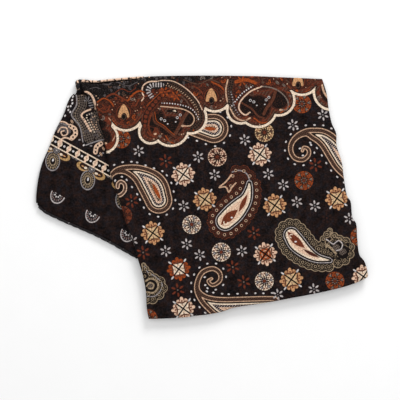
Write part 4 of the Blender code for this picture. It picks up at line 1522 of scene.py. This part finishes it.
@dataclass(frozen=True)
class PrintedCloth:
    """Thin matt cloth, near-black, with the print of one part of the square."""

    name: str
    centre: bool
    # Darkest ground tone, where the random mottle and the painted crease shade are lowest.
    hollow: Colour = (0.0008, 0.0006, 0.0006, 1.0)
    cool: Colour = (0.0190, 0.0150, 0.0180, 1.0)
    warm: Colour = (0.0310, 0.0150, 0.0120, 1.0)
    roughness: float = 0.79
    roughness_spread: float = 0.12
    sheen: float = 0.02
    # Share of the fine dark flecks multiplied over all colours: partly worn print, partly painted shade of
    # the cloth's crinkles.
    wear: float = 0.6
    weave_pitch: float = 0.62
    weave_height: float = 0.05

    def ground(self, ink: Shading) -> Socket:
        """The bare cloth's colour, slightly mottled, with painted streaks of crease light and shade.

        Args:
            ink: The material's nodes.

        Returns:
            The colour.
        """
        # Painted crease light and shade: soft streaks across the cloth that lighten and darken the black
        # ground.
        folds = (ink.read("cloth")[0] * 0.35 + ink.noise(0.05, 2.0) * 14.0).sine() * ink.noise(0.03, 1.0)
        fine = (ink.noise(0.45, 4.0) - 0.5) * 1.5
        light = (ink.noise(0.12, 5.0) + folds * 0.22 + fine).math("MULTIPLY", 1.0, clamp=True)
        hue = (ink.noise(0.22, 3.0) - 0.4).math("MULTIPLY", 5.0, clamp=True)
        return ink.mix(light, self.hollow, ink.mix(hue, self.cool, self.warm))

    def draw_paisleys(self, ink: Shading) -> None:
        """Scalloped bands, then the bodies with their lines.

        Args:
            ink: The material's nodes.
        """
        u, v, _ = ink.read("cloth")
        grain = bars(u + v * 0.6, 1.9, 0.3) | bars(u * 0.5 - v, 2.3, 0.3)
        specks = bars(u - v * 0.8, 2.6, 0.5) * bars(v + u * 0.5, 2.1, 0.6)
        rust_scallop, olive_scallop, _ = ink.read("scallop")
        banded, rust, olive = ink.read("paisley")
        ink.lay(
            (inside(rust_scallop), Tint.DEEP_BROWN),
            (stripe(rust_scallop, -0.5, 0.4) * grain, Tint.RUST),
            (stripe(rust_scallop, -2.2, 0.5), Tint.DARK_RUST),
            (inside(rust_scallop + 3.2) * grain, Tint.DARK_RUST),
            (inside(olive_scallop), Tint.BLACK),
            (stripe(olive_scallop, -0.35, 0.35), Tint.OLIVE),
            (stripe(olive_scallop, -2.0, 0.3) * grain, Tint.OLIVE),
            (inside(olive_scallop + 5.4) * grain, Tint.LACE_TAN),
        )
        for body in (rust, olive):
            ink.lay(
                (inside(body - 3.1), Tint.BLACK), (stripe(body, 1.65, 0.34), Tint.SILVER),
                (inside(body + 0.3), Tint.LIGHT), (inside(body + 2.0), Tint.CREAM),
            )
        for depth, tint, fill in (
            (0.0, Tint.PALE, None), (0.9, Tint.BROWN, None), (0.9, Tint.DEEP_BROWN, grain),
            (4.2, Tint.PALE, None), (5.0, Tint.BLACK, None), (6.5, Tint.LIGHT, None),
            (7.8, Tint.DEEP_BROWN, None), (8.0, Tint.SILVER, specks), (10.2, Tint.CREAM, None),
            (10.9, Tint.BROWN, specks), (12.4, Tint.BLACK, None), (13.1, Tint.PALE, grain),
        ):
            mask = inside(banded + depth)
            ink.lay((mask if fill is None else mask * fill, tint))

    def draw_frame(self, ink: Shading) -> tuple[Value, Value]:
        """The scalloped frame's ground.

        Args:
            ink: The material's nodes.

        Returns:
            Masks of the field below the frame's line and of the frame above it.
        """
        depth, heart, rise = ink.read("frame")
        u, v, _ = ink.read("cloth")
        mottle = (ink.noise(0.8, 3.0) - 0.52).math("MULTIPLY", 8.0, clamp=True)
        frame, low = inside(-depth), inside(rise + 12.0)
        dark, rusty, core = frame * inside(-rise), frame * inside(rise), frame * inside(heart)
        ink.lay(
            (frame, Tint.DEEP_BROWN),
            (dark, Tint.BLACK),
            (rusty * bars(u + v * 0.8, 3.1, 0.7) * bars(v - u * 0.7, 2.7, 0.8), Tint.DARK_RUST),
            (rusty * mottle * 0.85, Tint.BRICK),
            (dark * mottle * 0.35, Tint.DIM_GREY),
            (core, Tint.BLACK),
            (core * mottle * 0.45, Tint.UMBER),
            (stripe(depth, 4.0, 1.8) * low, Tint.BROWN),
            (stripe(depth, 4.0, 1.8) * low * bars(u - v * 0.7, 3.4, 1.0), Tint.DARK_RUST),
            (stripe(depth, 4.9, 0.4) * low, Tint.BRICK),
            (stripe(depth, 6.6, 0.3) * low, Tint.DARK_RUST),
        )
        return inside(depth + 1.3), inside(-depth + 1.8)

    def draw_lines(self, ink: Shading, name: str, masks: tuple[Value, ...]) -> None:
        """Draw one layer of the printed lines, each filled by its pattern.

        Args:
            ink: The material's nodes.
            name: The layer's name in the mesh.
            masks: The field and the frame, or nothing where all lines show.
        """
        across, past, along = ink.read(name)
        kind, half, side = ink.read(f"{name}_fill")
        tint = ink.held(f"{name}_tint", "Color")
        distance = across.hypot(past)
        shown = shown_where(side, masks)
        body = inside(distance - half)
        chain = inside(across.hypot(along.every(2.7)) - half) * inside(past - 0.2)
        bead = inside(across.hypot(along.every(4.6)) - half * 0.55) | inside(-distance + half - 0.6)
        for pattern, mask, colour in (
            (Pattern.PLAIN, body, tint),
            (Pattern.COMB, body * bars(along, 2.6, 0.55), tint),
            (Pattern.CHAIN, chain, tint),
            (Pattern.BAND, body, tint),
            (Pattern.BAND, body * inside(distance - half + 0.8), Tint.BROWN),
            (Pattern.LACE, body, Tint.BLACK),
            (Pattern.LACE, body * (bars(along, 2.4, 0.4) | bars(across, 2.2, 0.4)) * 0.6, tint),
            (Pattern.PEARLS, body, tint),
            (Pattern.PEARLS, body * inside(across.hypot(along.every(3.6)) - half * 0.42), Tint.BLACK),
            (Pattern.BEADS, body, Tint.DEEP_BROWN),
            (Pattern.BEADS, body * bead, tint),
        ):
            ink.lay((mask * kind.equals(pattern.value) * shown, colour))

    def draw_strip(self, ink: Shading) -> None:
        """The border's strip: two lines with discs and pinched squares between them.

        Args:
            ink: The material's nodes.
        """
        x, y, _ = ink.read("cloth")
        cos, sin = math.cos(math.radians(BORDER_TURN)), math.sin(math.radians(BORDER_TURN))
        upper, lower = STRIP_LINES
        half = (upper - lower) / 2.0
        u = x * cos + y * sin
        rise = y * cos - x * sin - (upper + lower) / 2.0
        disc = u.every(STRIP_PITCH, STRIP_PHASE)
        square = u.every(STRIP_PITCH, STRIP_PHASE + STRIP_PITCH / 2.0)
        ink.lay(
            (inside(abs(rise) - half - 0.6), Tint.LIGHT),
            (inside(abs(rise) - half + 0.5) * inside(-disc.hypot(rise) + 2.5), Tint.BLACK),
            (inside(abs(disc) - 1.1) * inside(abs(rise) - half), Tint.CREAM),
            (inside(square.hypot(rise) - 1.1), Tint.WHITE),
            (inside(disc.hypot(rise) - 0.5), Tint.PALE),
        )

    def draw_spots(self, ink: Shading, masks: tuple[Value, ...]) -> None:
        """Draw the small motifs.

        Args:
            ink: The material's nodes.
            masks: The field and the frame, or nothing where all motifs show.
        """
        x, y, kind = ink.read("spot")
        number, shown = abs(kind), shown_where(kind, masks)
        motif = Motif(ink, x, y, ink.held("outer", "Color"), ink.held("inner", "Color"), shown)
        for mark in CENTRE_MARKS if self.centre else BORDER_MARKS:
            motif.shown = number.equals(mark.number) * shown
            DRAWINGS[mark](motif)

    def make(self) -> bpy.types.Material:
        """Make the material.

        Returns:
            The material.
        """
        ink = Shading(self.name)
        ink.colour = self.ground(ink)
        masks: tuple[Value, ...] = ()
        if self.centre:
            self.draw_paisleys(ink)
            masks = self.draw_frame(ink)
        else:
            self.draw_strip(ink)
        for name in ("band", "line"):
            self.draw_lines(ink, name, masks)
        self.draw_spots(ink, masks)
        if self.centre:
            depth = ink.read("frame")[0]
            ink.lay((stripe(depth, 0.0, 1.15), Tint.LIGHT), (stripe(depth, 1.8, 0.3), Tint.BLACK))

        x, y, _ = ink.read("cloth")
        turn = 2.0 * math.pi / self.weave_pitch
        weave = (x * turn).sine() * (y * turn).sine() + ink.noise(1.6, 4.0) * 1.2
        ink.feed(
            ink.shader,
            # Fine dark flecks over the print and ground: partly worn print, partly painted crinkle shade.
            Base_Color=ink.mix(self.wear, ink.colour, (ink.noise(0.75, 4.0) - 0.31) * 3.6, "MULTIPLY"),
            Normal=ink.bump(Strength=0.6, Height=weave * (self.weave_height * MM)),
            Roughness=ink.noise(0.5, 2.0) * self.roughness_spread + self.roughness,
            Metallic=0.0,
            Specular_IOR_Level=0.05,
            Sheen_Weight=self.sheen,
            Sheen_Roughness=0.5,
        )
        return ink.material


@dataclass(frozen=True)
class HemCloth:
    """The same cloth, rolled and stitched: dark, with the pale specks of its print."""

    name: str
    ground: Colour = (0.012, 0.010, 0.011, 1.0)
    speck: Tint = Tint.GREY
    least: float = 0.66
    speck_scale: float = 420.0
    speck_edge: float = 18.0
    roughness: float = 0.85
    dash_pitch: float = 0.0
    dash_length: float = 3.0
    fibre_scale: float = 2400.0
    fibre_height: float = 0.0002

    def make(self) -> bpy.types.Material:
        """Make the material.

        Returns:
            The material.
        """
        ink = Shading(self.name)
        place = ink.node("TexCoord").outputs["Object"]
        cloud = ink.noise(self.speck_scale, 2.0, place)
        specks = (cloud - self.least).math("MULTIPLY", self.speck_edge, clamp=True)
        if self.dash_pitch:
            along = ink.split(place)[0] * (1.0 / MM)
            specks = specks | bars(along, self.dash_pitch, self.dash_length / 2.0) * 0.9
        fibre = ink.noise(self.fibre_scale, 2.0, place)
        ink.feed(
            ink.shader,
            Base_Color=ink.mix(specks, self.ground, self.speck.linear),
            Normal=ink.bump(Strength=0.4, Distance=self.fibre_height, Height=fibre),
            Roughness=self.roughness,
            Specular_IOR_Level=0.18,
        )
        return ink.material


def settle(piece: bpy.types.Object, slot: str, *nodes: str) -> None:
    """Let a piece ride on the scarf's body and stand for its solids.

    Args:
        piece: The piece.
        slot: Not used.
        nodes: The solids that it stands for.
    """
    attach(piece, "root")
    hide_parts(*nodes)
    corners = np.array([v.co for v in piece.data.vertices])
    low, high = corners.min(0) / MM, corners.max(0) / MM
    faces = len(piece.data.polygons)
    log.info("%s: %d faces, from %s to %s mm", piece.name, faces, low.round(1), high.round(1))


def printed(
    surface: Surface, name: str, layout: Layout, finish: bpy.types.Material, thick: bool = True,
) -> bpy.types.Object:
    """Make a surface's piece with its print.

    Args:
        surface: The points and faces.
        name: The piece's name.
        layout: The print.
        finish: The cloth's material.
        thick: Whether it gets the cloth's thickness, on its inner side.

    Returns:
        The piece.
    """
    piece, cloth = surface.piece(name)
    layout.write(piece.data, cloth)
    if thick:
        bpy.ops.object.select_all(action="DESELECT")
        piece.select_set(True)
        bpy.context.view_layer.objects.active = piece
        solid = piece.modifiers.new("thickness", "SOLIDIFY")
        solid.thickness = CLOTH_THICKNESS * MM
        solid.offset = -1.0
        bpy.ops.object.modifier_apply(modifier=solid.name)
    piece.data.materials.append(finish)
    return piece


def panel_edges(bottom: Places) -> list[Line]:
    """Edges of the top stretch, clockwise from the top."""
    return [Line(TOP_FOLD), Line(RIGHT_FOLD), Line(bottom), Line((bottom[-1],) + LEFT_FOLD + (TOP_FOLD[0],))]


def outline_edges(top: Places) -> list[Line]:
    """Edges of the whole outline, wing and all, clockwise from the top.

    Args:
        top: The top edge's places.

    Returns:
        The edges.
    """
    return [
        Line(top), Line(RIGHT_FOLD), Line(BOTTOM_UNDER), Line((BOTTOM_UNDER[-1],) + LEFT_LOWER + (NOTCH,)),
        Line(HEM_EDGE), Line((WING_CORNER,) + WING_FOLD + (top[0],)),
    ]


@dataclass
class CurledSheet:
    """A stretch of cloth whose edge curls round to a flap all the way round."""

    name: str
    edges: list[Line]
    steps: tuple[int, ...]
    top: float
    bottom: float
    flap: float
    creases: Places = ()
    inset: float = 0.0
    rough: float = 1.0
    upside_down: bool = False
    lip_steps: int = 8
    cloth_turn: float = 0.0
    cloth_shift: tuple[float, float] = (0.0, 0.0)

    def on_cloth(self, plan: np.ndarray) -> np.ndarray:
        """Where places lie on the cloth."""
        return turned(plan, self.cloth_turn) + np.array(self.cloth_shift)

    def build(self, layout: Layout, finish: bpy.types.Material) -> bpy.types.Object:
        """Make the cloth with its print.

        Args:
            layout: The print.
            finish: The cloth's material.

        Returns:
            The piece.
        """
        radius = (self.top - self.bottom) / 2.0
        rim = inset_ring(self.edges, self.steps, self.inset + radius)
        away = unit(inset_ring(self.edges, self.steps, self.inset) - rim)
        plan = fill_grid(rim, *self.steps[:2])
        height = self.top + relief(self.creases, plan) + Crinkle().height(plan) * self.rough
        surface = Surface()
        numbers = surface.add(plan, height, self.on_cloth(plan))
        surface.grid(numbers)
        rings = [around(numbers)]
        drops = around(height) - self.bottom
        rises, runs = half_round(self.lip_steps)
        for step in range(1, self.lip_steps + 1):
            ring = inset_ring(self.edges, self.steps, self.inset + radius - radius * runs[step])
            arc = radius * math.pi * step / self.lip_steps
            levels = self.bottom + drops * (rises[step] + 1.0) / 2.0
            rings.append(surface.add(ring, levels, self.on_cloth(rim + away * arc)))
        for step in (0.5, 1.0):
            ring = inset_ring(self.edges, self.steps, self.inset + radius + self.flap * step)
            arc = radius * math.pi + self.flap * step
            rings.append(surface.add(ring, self.bottom, self.on_cloth(rim + away * arc)))
        surface.rings(rings[::-1])
        if self.upside_down:
            height = self.top + self.bottom
            surface.places = [place * (1.0, 1.0, -1.0) + (0.0, 0.0, height) for place in surface.places]
            surface.faces = [face[::-1] for face in surface.faces]
        return printed(surface, self.name, layout, finish)


@dataclass
class Wing:
    """The stretch that runs out to the left, folded along its far side and hemmed along its lower side."""

    steps: int = 110
    across: int = 76
    lip_steps: int = 8
    hem_drop: float = 9.0
    hem_rise: float = 1.2
    tuck_at_top: float = 11.0
    tuck_at_notch: float = 4.0
    tuck_share: float = 0.25
    short_at_top: float = 22.0
    fade_columns: int = 24
    fold_columns: int = 6
    rough: float = 0.8
    seed: int = 9

    def heights(self, plan: np.ndarray, hem_line: np.ndarray) -> np.ndarray:
        """Height of the upper face, which falls to the hem.

        Args:
            plan: Places in plan.
            hem_line: Places along the hem.

        Returns:
            The heights.
        """
        circles = np.column_stack([hem_line, np.zeros(len(hem_line))])
        to_hem = edge_distance(plan.reshape(-1, 2), circles)[1].reshape(plan.shape[:-1])
        drop = WING_TOP - (UNDER_WING + self.hem_rise)
        return WING_TOP - drop * smoothstep(1.0 - to_hem / self.hem_drop)

    def tucked_side(self) -> np.ndarray:
        """The side under the top stretch, from the notch to the top.

        Returns:
            Places in plan.
        """
        panel = panel_edges(BOTTOM_FOLD)[-1]
        share = np.linspace(0.0, 1.0, self.steps + 1)
        notch = panel.lengths[np.hypot(*(panel.knots - NOTCH).T).argmin()]
        places, headings = panel.at(notch + (panel.length - self.short_at_top - notch) * share)
        wider = (self.tuck_at_top - self.tuck_at_notch) * smoothstep(share / self.tuck_share)
        tuck = self.tuck_at_notch + wider
        return places + inward(headings) * tuck[:, None]

    def build(self, layout: Layout, finish: bpy.types.Material) -> bpy.types.Object:
        """Make the cloth with its print.

        Args:
            layout: The print.
            finish: The cloth's material.

        Returns:
            The piece.
        """
        radius = (WING_TOP - UNDER_WING) / 2.0
        fold = Line((WING_CORNER,) + WING_FOLD[:-1] + (WING_TOP_LEFT,))
        hem = Line(HEM_EDGE)
        hem_inset = HEM_WIDTH + HEM_GAP
        low_corner = inset_corner(hem, fold, hem_inset, radius)
        (start,), (leaving,) = fold.at(0.0)
        folded, headings = fold.at(np.linspace((low_corner - start) @ leaving, fold.length, self.steps + 1))
        normals = inward(headings)
        rim = folded + normals * radius
        (end,), (heading,) = hem.at(hem.length)
        hem_end = hem.length + (low_corner - end) @ heading
        places, headings = hem.at(np.linspace(hem_end, -self.tuck_at_notch, self.across + 1))
        hem_line = places + inward(headings) * hem_inset
        hem_line[0] = rim[0]
        tucked = self.tucked_side()
        tucked[0] = hem_line[-1]
        top_line = rim[-1] + (tucked[-1] - rim[-1]) * np.linspace(0.0, 1.0, self.across + 1)[:, None]
        ring = np.vstack([top_line[:-1], tucked[:0:-1], hem_line[:0:-1], rim[:-1]])
        plan = fill_grid(ring, self.across, self.steps)

        columns = np.arange(self.across + 1)
        fade = smoothstep((self.across - columns) / self.fade_columns)
        fade = fade * smoothstep(columns / self.fold_columns)
        level = self.heights(plan, hem_line)
        uneven = relief(WING_CREASES, plan) + Crinkle(self.seed).height(plan) * self.rough
        surface = Surface()
        rises, runs = half_round(self.lip_steps)
        rim, normals = rim[::-1], normals[::-1]
        flap = rim - normals * (math.pi * radius + WING_FLAP)
        rows = [surface.add(rim + normals * WING_FLAP, UNDER_WING, flap)]
        for step in range(self.lip_steps, 0, -1):
            levels = UNDER_WING + (level[:, 0] - UNDER_WING) * (rises[step] + 1.0) / 2.0
            cloth = rim - normals * radius * math.pi * step / self.lip_steps
            rows.append(surface.add(rim - normals * radius * runs[step], levels, cloth))
        surface.grid(np.column_stack([*rows, surface.add(plan, level + uneven * fade, plan)]))
        return printed(surface, "left_cloth", layout, finish)


def tapered(distance: np.ndarray, over: float, blunt: float) -> np.ndarray:
    """A roll's share of its full size, less near both ends of its run."""
    return smoothstep(np.minimum(distance - distance[0], distance[-1] - distance) / over + blunt)


@dataclass
class Hem:
    """The narrow rolled hem along the wing's lower side, drawn in at each stitch."""

    segments: int = 420
    sides: int = 14
    pitch: float = 8.0
    depth: float = 0.5
    swing: float = 0.3
    swing_rate: float = 0.37
    flattened: float = 0.35
    start: float = 1.0
    short: float = 2.0
    taper: float = 1.6
    blunt: float = 0.25

    def build(self, finish: bpy.types.Material) -> bpy.types.Object:
        """Make the roll.

        Args:
            finish: Its material.

        Returns:
            The piece.
        """
        edge = Line(HEM_EDGE)
        distance = np.linspace(self.start, edge.length - self.short, self.segments + 1)
        places, headings = edge.at(distance)
        phase = 2.0 * math.pi * distance / self.pitch
        uneven = 1.0 - self.swing + self.swing * np.sin(phase * self.swing_rate)
        draw_in = (self.depth * uneven * ((1.0 - np.cos(phase)) / 2.0) ** 2)[:, None]
        ends = tapered(distance, self.taper, self.blunt)[:, None]
        angles = np.linspace(0.0, 2.0 * math.pi, self.sides, endpoint=False)[None]
        run = np.cos(angles) * HEM_WIDTH / 2.0 * ends + draw_in * np.maximum(-np.cos(angles), 0.0)
        lift = np.sin(angles) * (HEM_HEIGHT / 2.0 - draw_in * self.flattened) * ends
        surface = Surface()
        surface.tube(
            places[:, None] + inward(headings)[:, None] * (HEM_WIDTH / 2.0 + run)[..., None],
            UNDER_WING + HEM_HEIGHT / 2.0 + lift,
        )
        piece = surface.piece("rolled_hem")[0]
        piece.data.materials.append(finish)
        return piece


@dataclass
class EdgeRoll:
    """The rolled edge of an under layer that shows above the top fold, with its knob."""

    segments: int = 220
    sides: int = 14
    taper: float = 1.2
    blunt: float = 0.2
    knob_end: float = -119.5
    # Columns: height, waves in each millimetre in radians, phase.
    swells: Places = ((0.07, 1.9, 0.0), (0.05, 0.83, 1.0))

    def build(self, finish: bpy.types.Material, knob_finish: bpy.types.Material) -> bpy.types.Object:
        """Make the roll.

        Args:
            finish: The roll's material.
            knob_finish: The knob's material.

        Returns:
            The piece.
        """
        edge = Line(EDGE_ROLL)
        distance = np.linspace(0.0, edge.length, self.segments + 1)
        values, headings = edge.at(distance)
        wave = 1.0 + sum(height * np.sin(distance * rate + phase) for height, rate, phase in self.swells)
        radius = (values[:, 2] * wave * tapered(distance, self.taper, self.blunt))[:, None]
        angles = np.linspace(0.0, 2.0 * math.pi, self.sides, endpoint=False)
        surface = Surface()
        surface.tube(
            values[:, None, :2] + inward(headings)[:, None] * (np.cos(angles) * radius)[..., None],
            BACK_TOP + HEM_GAP + values[:, 2:3] + np.sin(angles) * radius,
        )
        piece = surface.piece("back_edge")[0]
        piece.data.materials.append(finish)
        piece.data.materials.append(knob_finish)
        for face in piece.data.polygons:
            face.material_index = int(face.center.x < self.knob_end * MM)
        return piece


@dataclass
class FoldStack:
    """The layers between, as thin folds that show at the edges."""

    lower_steps: tuple[int, ...] = OUTLINE_STEPS
    upper_steps: tuple[int, ...] = (130, 112, 130, 112)
    fold_steps: int = 8
    near: float = 1.0
    deep: float = 9.0
    # Further in under the wing and the left fold, side by side round the outline.
    lower_room: tuple[float, ...] = (0.0, 0.0, 0.0, 0.5, 12.5, 12.5)
    upper_room: tuple[float, ...] = (0.0, 0.0, 0.0, 13.0)
    # Columns: bottom, top, inset, unevenness.
    lower_folds: Places = ((2.9, 3.65, 1.7, 0.5), (3.72, 4.5, 1.5, 0.6))
    upper_folds: Places = ((4.5, 5.35, 1.3, 0.5), (5.42, 6.3, 1.9, 0.6))
    groove: float = 1.4
    waves: tuple[int, ...] = (3, 7, 13, 22)
    wave_share: float = 0.6
    layer_shift: float = 31.0
    arc_share: float = 1.5
    cloth_start: float = -6.0
    cloth_end: float = 8.0
    phase_span: float = 6.3
    seed: int = 3

    def sides(self, edges: list[Line], steps: tuple[int, ...], room: Sequence[float]) -> list[np.ndarray]:
        """The ring near the edge and the ring deep inside."""
        insets = (self.near, self.deep)
        return [inset_ring(edges, steps, [inset + extra for extra in room]) for inset in insets]

    def ring(
        self, surface: Surface, pair: list[np.ndarray], inset: np.ndarray | float, height: float,
        cloth: float,
    ) -> np.ndarray:
        """Add one ring of points.

        Args:
            surface: What it is added to.
            pair: The rings near the edge and deep inside.
            inset: How far in it lies.
            height: Its height.
            cloth: How far out it lies on the cloth.

        Returns:
            The numbers of its points.
        """
        near, deep = pair
        share = (inset - self.near) / (self.deep - self.near) * np.ones(len(near))
        return surface.add(near + (deep - near) * share[:, None], height, near + unit(near - deep) * cloth)

    def build(self, layout: Layout, finish: bpy.types.Material) -> bpy.types.Object:
        """Make the layered edge.

        Args:
            layout: The print.
            finish: The cloth's material.

        Returns:
            The piece.
        """
        lower = self.sides(outline_edges(TOP_FOLD), self.lower_steps, self.lower_room)
        upper = self.sides(panel_edges(BOTTOM_UNDER), self.upper_steps, self.upper_room)
        surface = Surface()
        rises, runs = half_round(self.fold_steps)
        turn = np.linspace(0.0, 2.0 * math.pi, len(lower[0]), endpoint=False)
        draw = np.random.default_rng(self.seed)
        shift = 0.0
        rings = [self.ring(surface, lower, self.deep, BACK_TOP + HEM_GAP, self.cloth_start)]
        for pair, folds in ((lower, self.lower_folds), (upper, self.upper_folds)):
            for bottom, top, inset, uneven in folds:
                waves = sum(np.sin(turn * k + draw.uniform(0.0, self.phase_span)) / k for k in self.waves)
                edge = np.clip(inset + uneven * waves * self.wave_share, self.near, None)
                radius, middle = (top - bottom) / 2.0, (top + bottom) / 2.0
                inner = edge + radius + self.groove
                shift += self.layer_shift
                rings.append(self.ring(surface, pair, inner, bottom, shift - self.groove))
                for rise, run in zip(rises[::-1], runs[::-1]):
                    height, arc = middle + radius * rise, radius * (rise + 1.0) * self.arc_share
                    rings.append(self.ring(surface, pair, edge + radius - radius * run, height, shift + arc))
                end = shift + self.groove + self.arc_share * 2.0 * radius
                rings.append(self.ring(surface, pair, inner, top, end))
        rings.append(self.ring(surface, upper, self.deep, self.upper_folds[-1][1], shift + self.cloth_end))
        surface.rings(rings)
        surface.faces += [tuple(rings[0]), tuple(rings[-1][::-1])]
        return printed(surface, "inner_folds", layout, finish, thick=False)


@dataclass(frozen=True)
class Studio:
    """White paper under soft light, seen from straight overhead."""

    eye: tuple[float, float] = (-1.75, -2.0)
    view_width: float = 400.0
    lens: float = 120.0
    sensor: float = 36.0
    level: float = 8.5
    floor_size: float = 6.0
    floor_level: float = -0.0002
    ambient: float = 0.58
    # Columns: name, x, y, z, size, energy.
    lights: Sequence[tuple] = (
        ("key", 0.45, 1.1, 0.85, 0.55, 12.5),
        ("overhead", 0.0, 0.1, 1.9, 1.6, 12.0),
    )

    def floor(self) -> None:
        """Make the white surface that the scarf lies on."""
        bpy.ops.object.select_all(action="DESELECT")
        bpy.ops.mesh.primitive_plane_add(size=self.floor_size, location=(0.0, 0.0, self.floor_level))
        floor = bpy.context.object
        floor.name = "paper"
        bpy.ops.object.transform_apply(location=True, rotation=True, scale=True)
        ink = Shading("paper")
        cloud = ink.noise(30.0, 2.0, ink.node("TexCoord").outputs["Object"])
        white = ink.mix(cloud, (0.88, 0.88, 0.88, 1.0), (0.90, 0.90, 0.90, 1.0))
        ink.feed(ink.shader, Base_Color=white, Roughness=0.9, Specular_IOR_Level=0.1)
        floor.data.materials.append(ink.material)

    def light(self, name: str, place: tuple[float, ...], size: float, energy: float) -> None:
        """Add a square light that faces the scarf.

        Args:
            name: Its name.
            place: Where it is, in metres.
            size: Its side, in metres.
            energy: Its power, in watts.
        """
        data = bpy.data.lights.new(name, "AREA")
        data.shape = "SQUARE"
        data.size = size
        data.energy = energy
        light = bpy.data.objects.new(name, data)
        bpy.context.scene.collection.objects.link(light)
        light.location = place
        light.rotation_euler = Vector(place).to_track_quat("Z", "Y").to_euler()

    def build(self) -> None:
        """Make the floor, lights and camera."""
        self.floor()
        world = bpy.data.worlds.new("studio")
        world.use_nodes = True
        background = world.node_tree.nodes["Background"]
        background.inputs["Color"].default_value = (1.0, 1.0, 1.0, 1.0)
        background.inputs["Strength"].default_value = self.ambient
        bpy.context.scene.world = world
        for name, x, y, z, size, energy in self.lights:
            self.light(name, (x, y, z), size, energy)
        data = bpy.data.cameras.new("camera")
        data.lens = self.lens
        data.sensor_width = self.sensor
        camera = bpy.data.objects.new("camera", data)
        distance = self.view_width / 2.0 / (self.sensor / 2.0 / self.lens)
        camera.location = (self.eye[0] * MM, self.eye[1] * MM, (distance + self.level) * MM)
        bpy.context.scene.collection.objects.link(camera)
        bpy.context.scene.camera = camera
        bpy.context.scene.view_settings.view_transform = "Standard"


def main() -> None:
    """Build the scarf and its studio."""
    logging.basicConfig(level=logging.INFO, format="%(message)s")
    centre, border = centre_layout(), border_layout()
    centre_cloth = PrintedCloth("centre_cloth", True).make()
    border_cloth = PrintedCloth("border_cloth", False).make()

    front = CurledSheet(
        "front_cloth", panel_edges(BOTTOM_FOLD), PANEL_STEPS, FRONT_TOP, UNDER_FRONT, FRONT_FLAP,
        FRONT_CREASES,
    ).build(centre, centre_cloth)
    settle(front, "printed_cloth", "front_stretch")

    wing = Wing().build(border, border_cloth)
    settle(wing, "printed_cloth", "left_stretch")

    back = CurledSheet(
        "back_cloth", outline_edges(TOP_UNDER), OUTLINE_STEPS, BACK_TOP, 0.0, BACK_FLAP, inset=BACK_INSET,
        rough=0.0, upside_down=True, cloth_turn=180.0, cloth_shift=(6.0, -14.0),
    ).build(centre, centre_cloth)
    settle(back, "printed_cloth", "back_stretch")

    folds = FoldStack().build(centre, centre_cloth)
    settle(folds, "printed_cloth", "hidden_folds")

    hem_cloth = HemCloth("hem_cloth")
    hem = Hem().build(hem_cloth.make())
    settle(hem, "rolled_hem", "left_hem")

    dashed = HemCloth(
        "edge_cloth", Tint.CREAM.linear, Tint.BLACK, 0.56, speck_scale=378.0, dash_pitch=7.3, dash_length=1.1,
    )
    knob = HemCloth("knob_cloth", hem_cloth.ground, Tint.CREAM, 0.56, speck_scale=336.0)
    edge_roll = EdgeRoll().build(dashed.make(), knob.make())
    settle(edge_roll, "rolled_hem", "back_edge_roll")

    Studio().build()


if __name__ == "__main__":
    main()
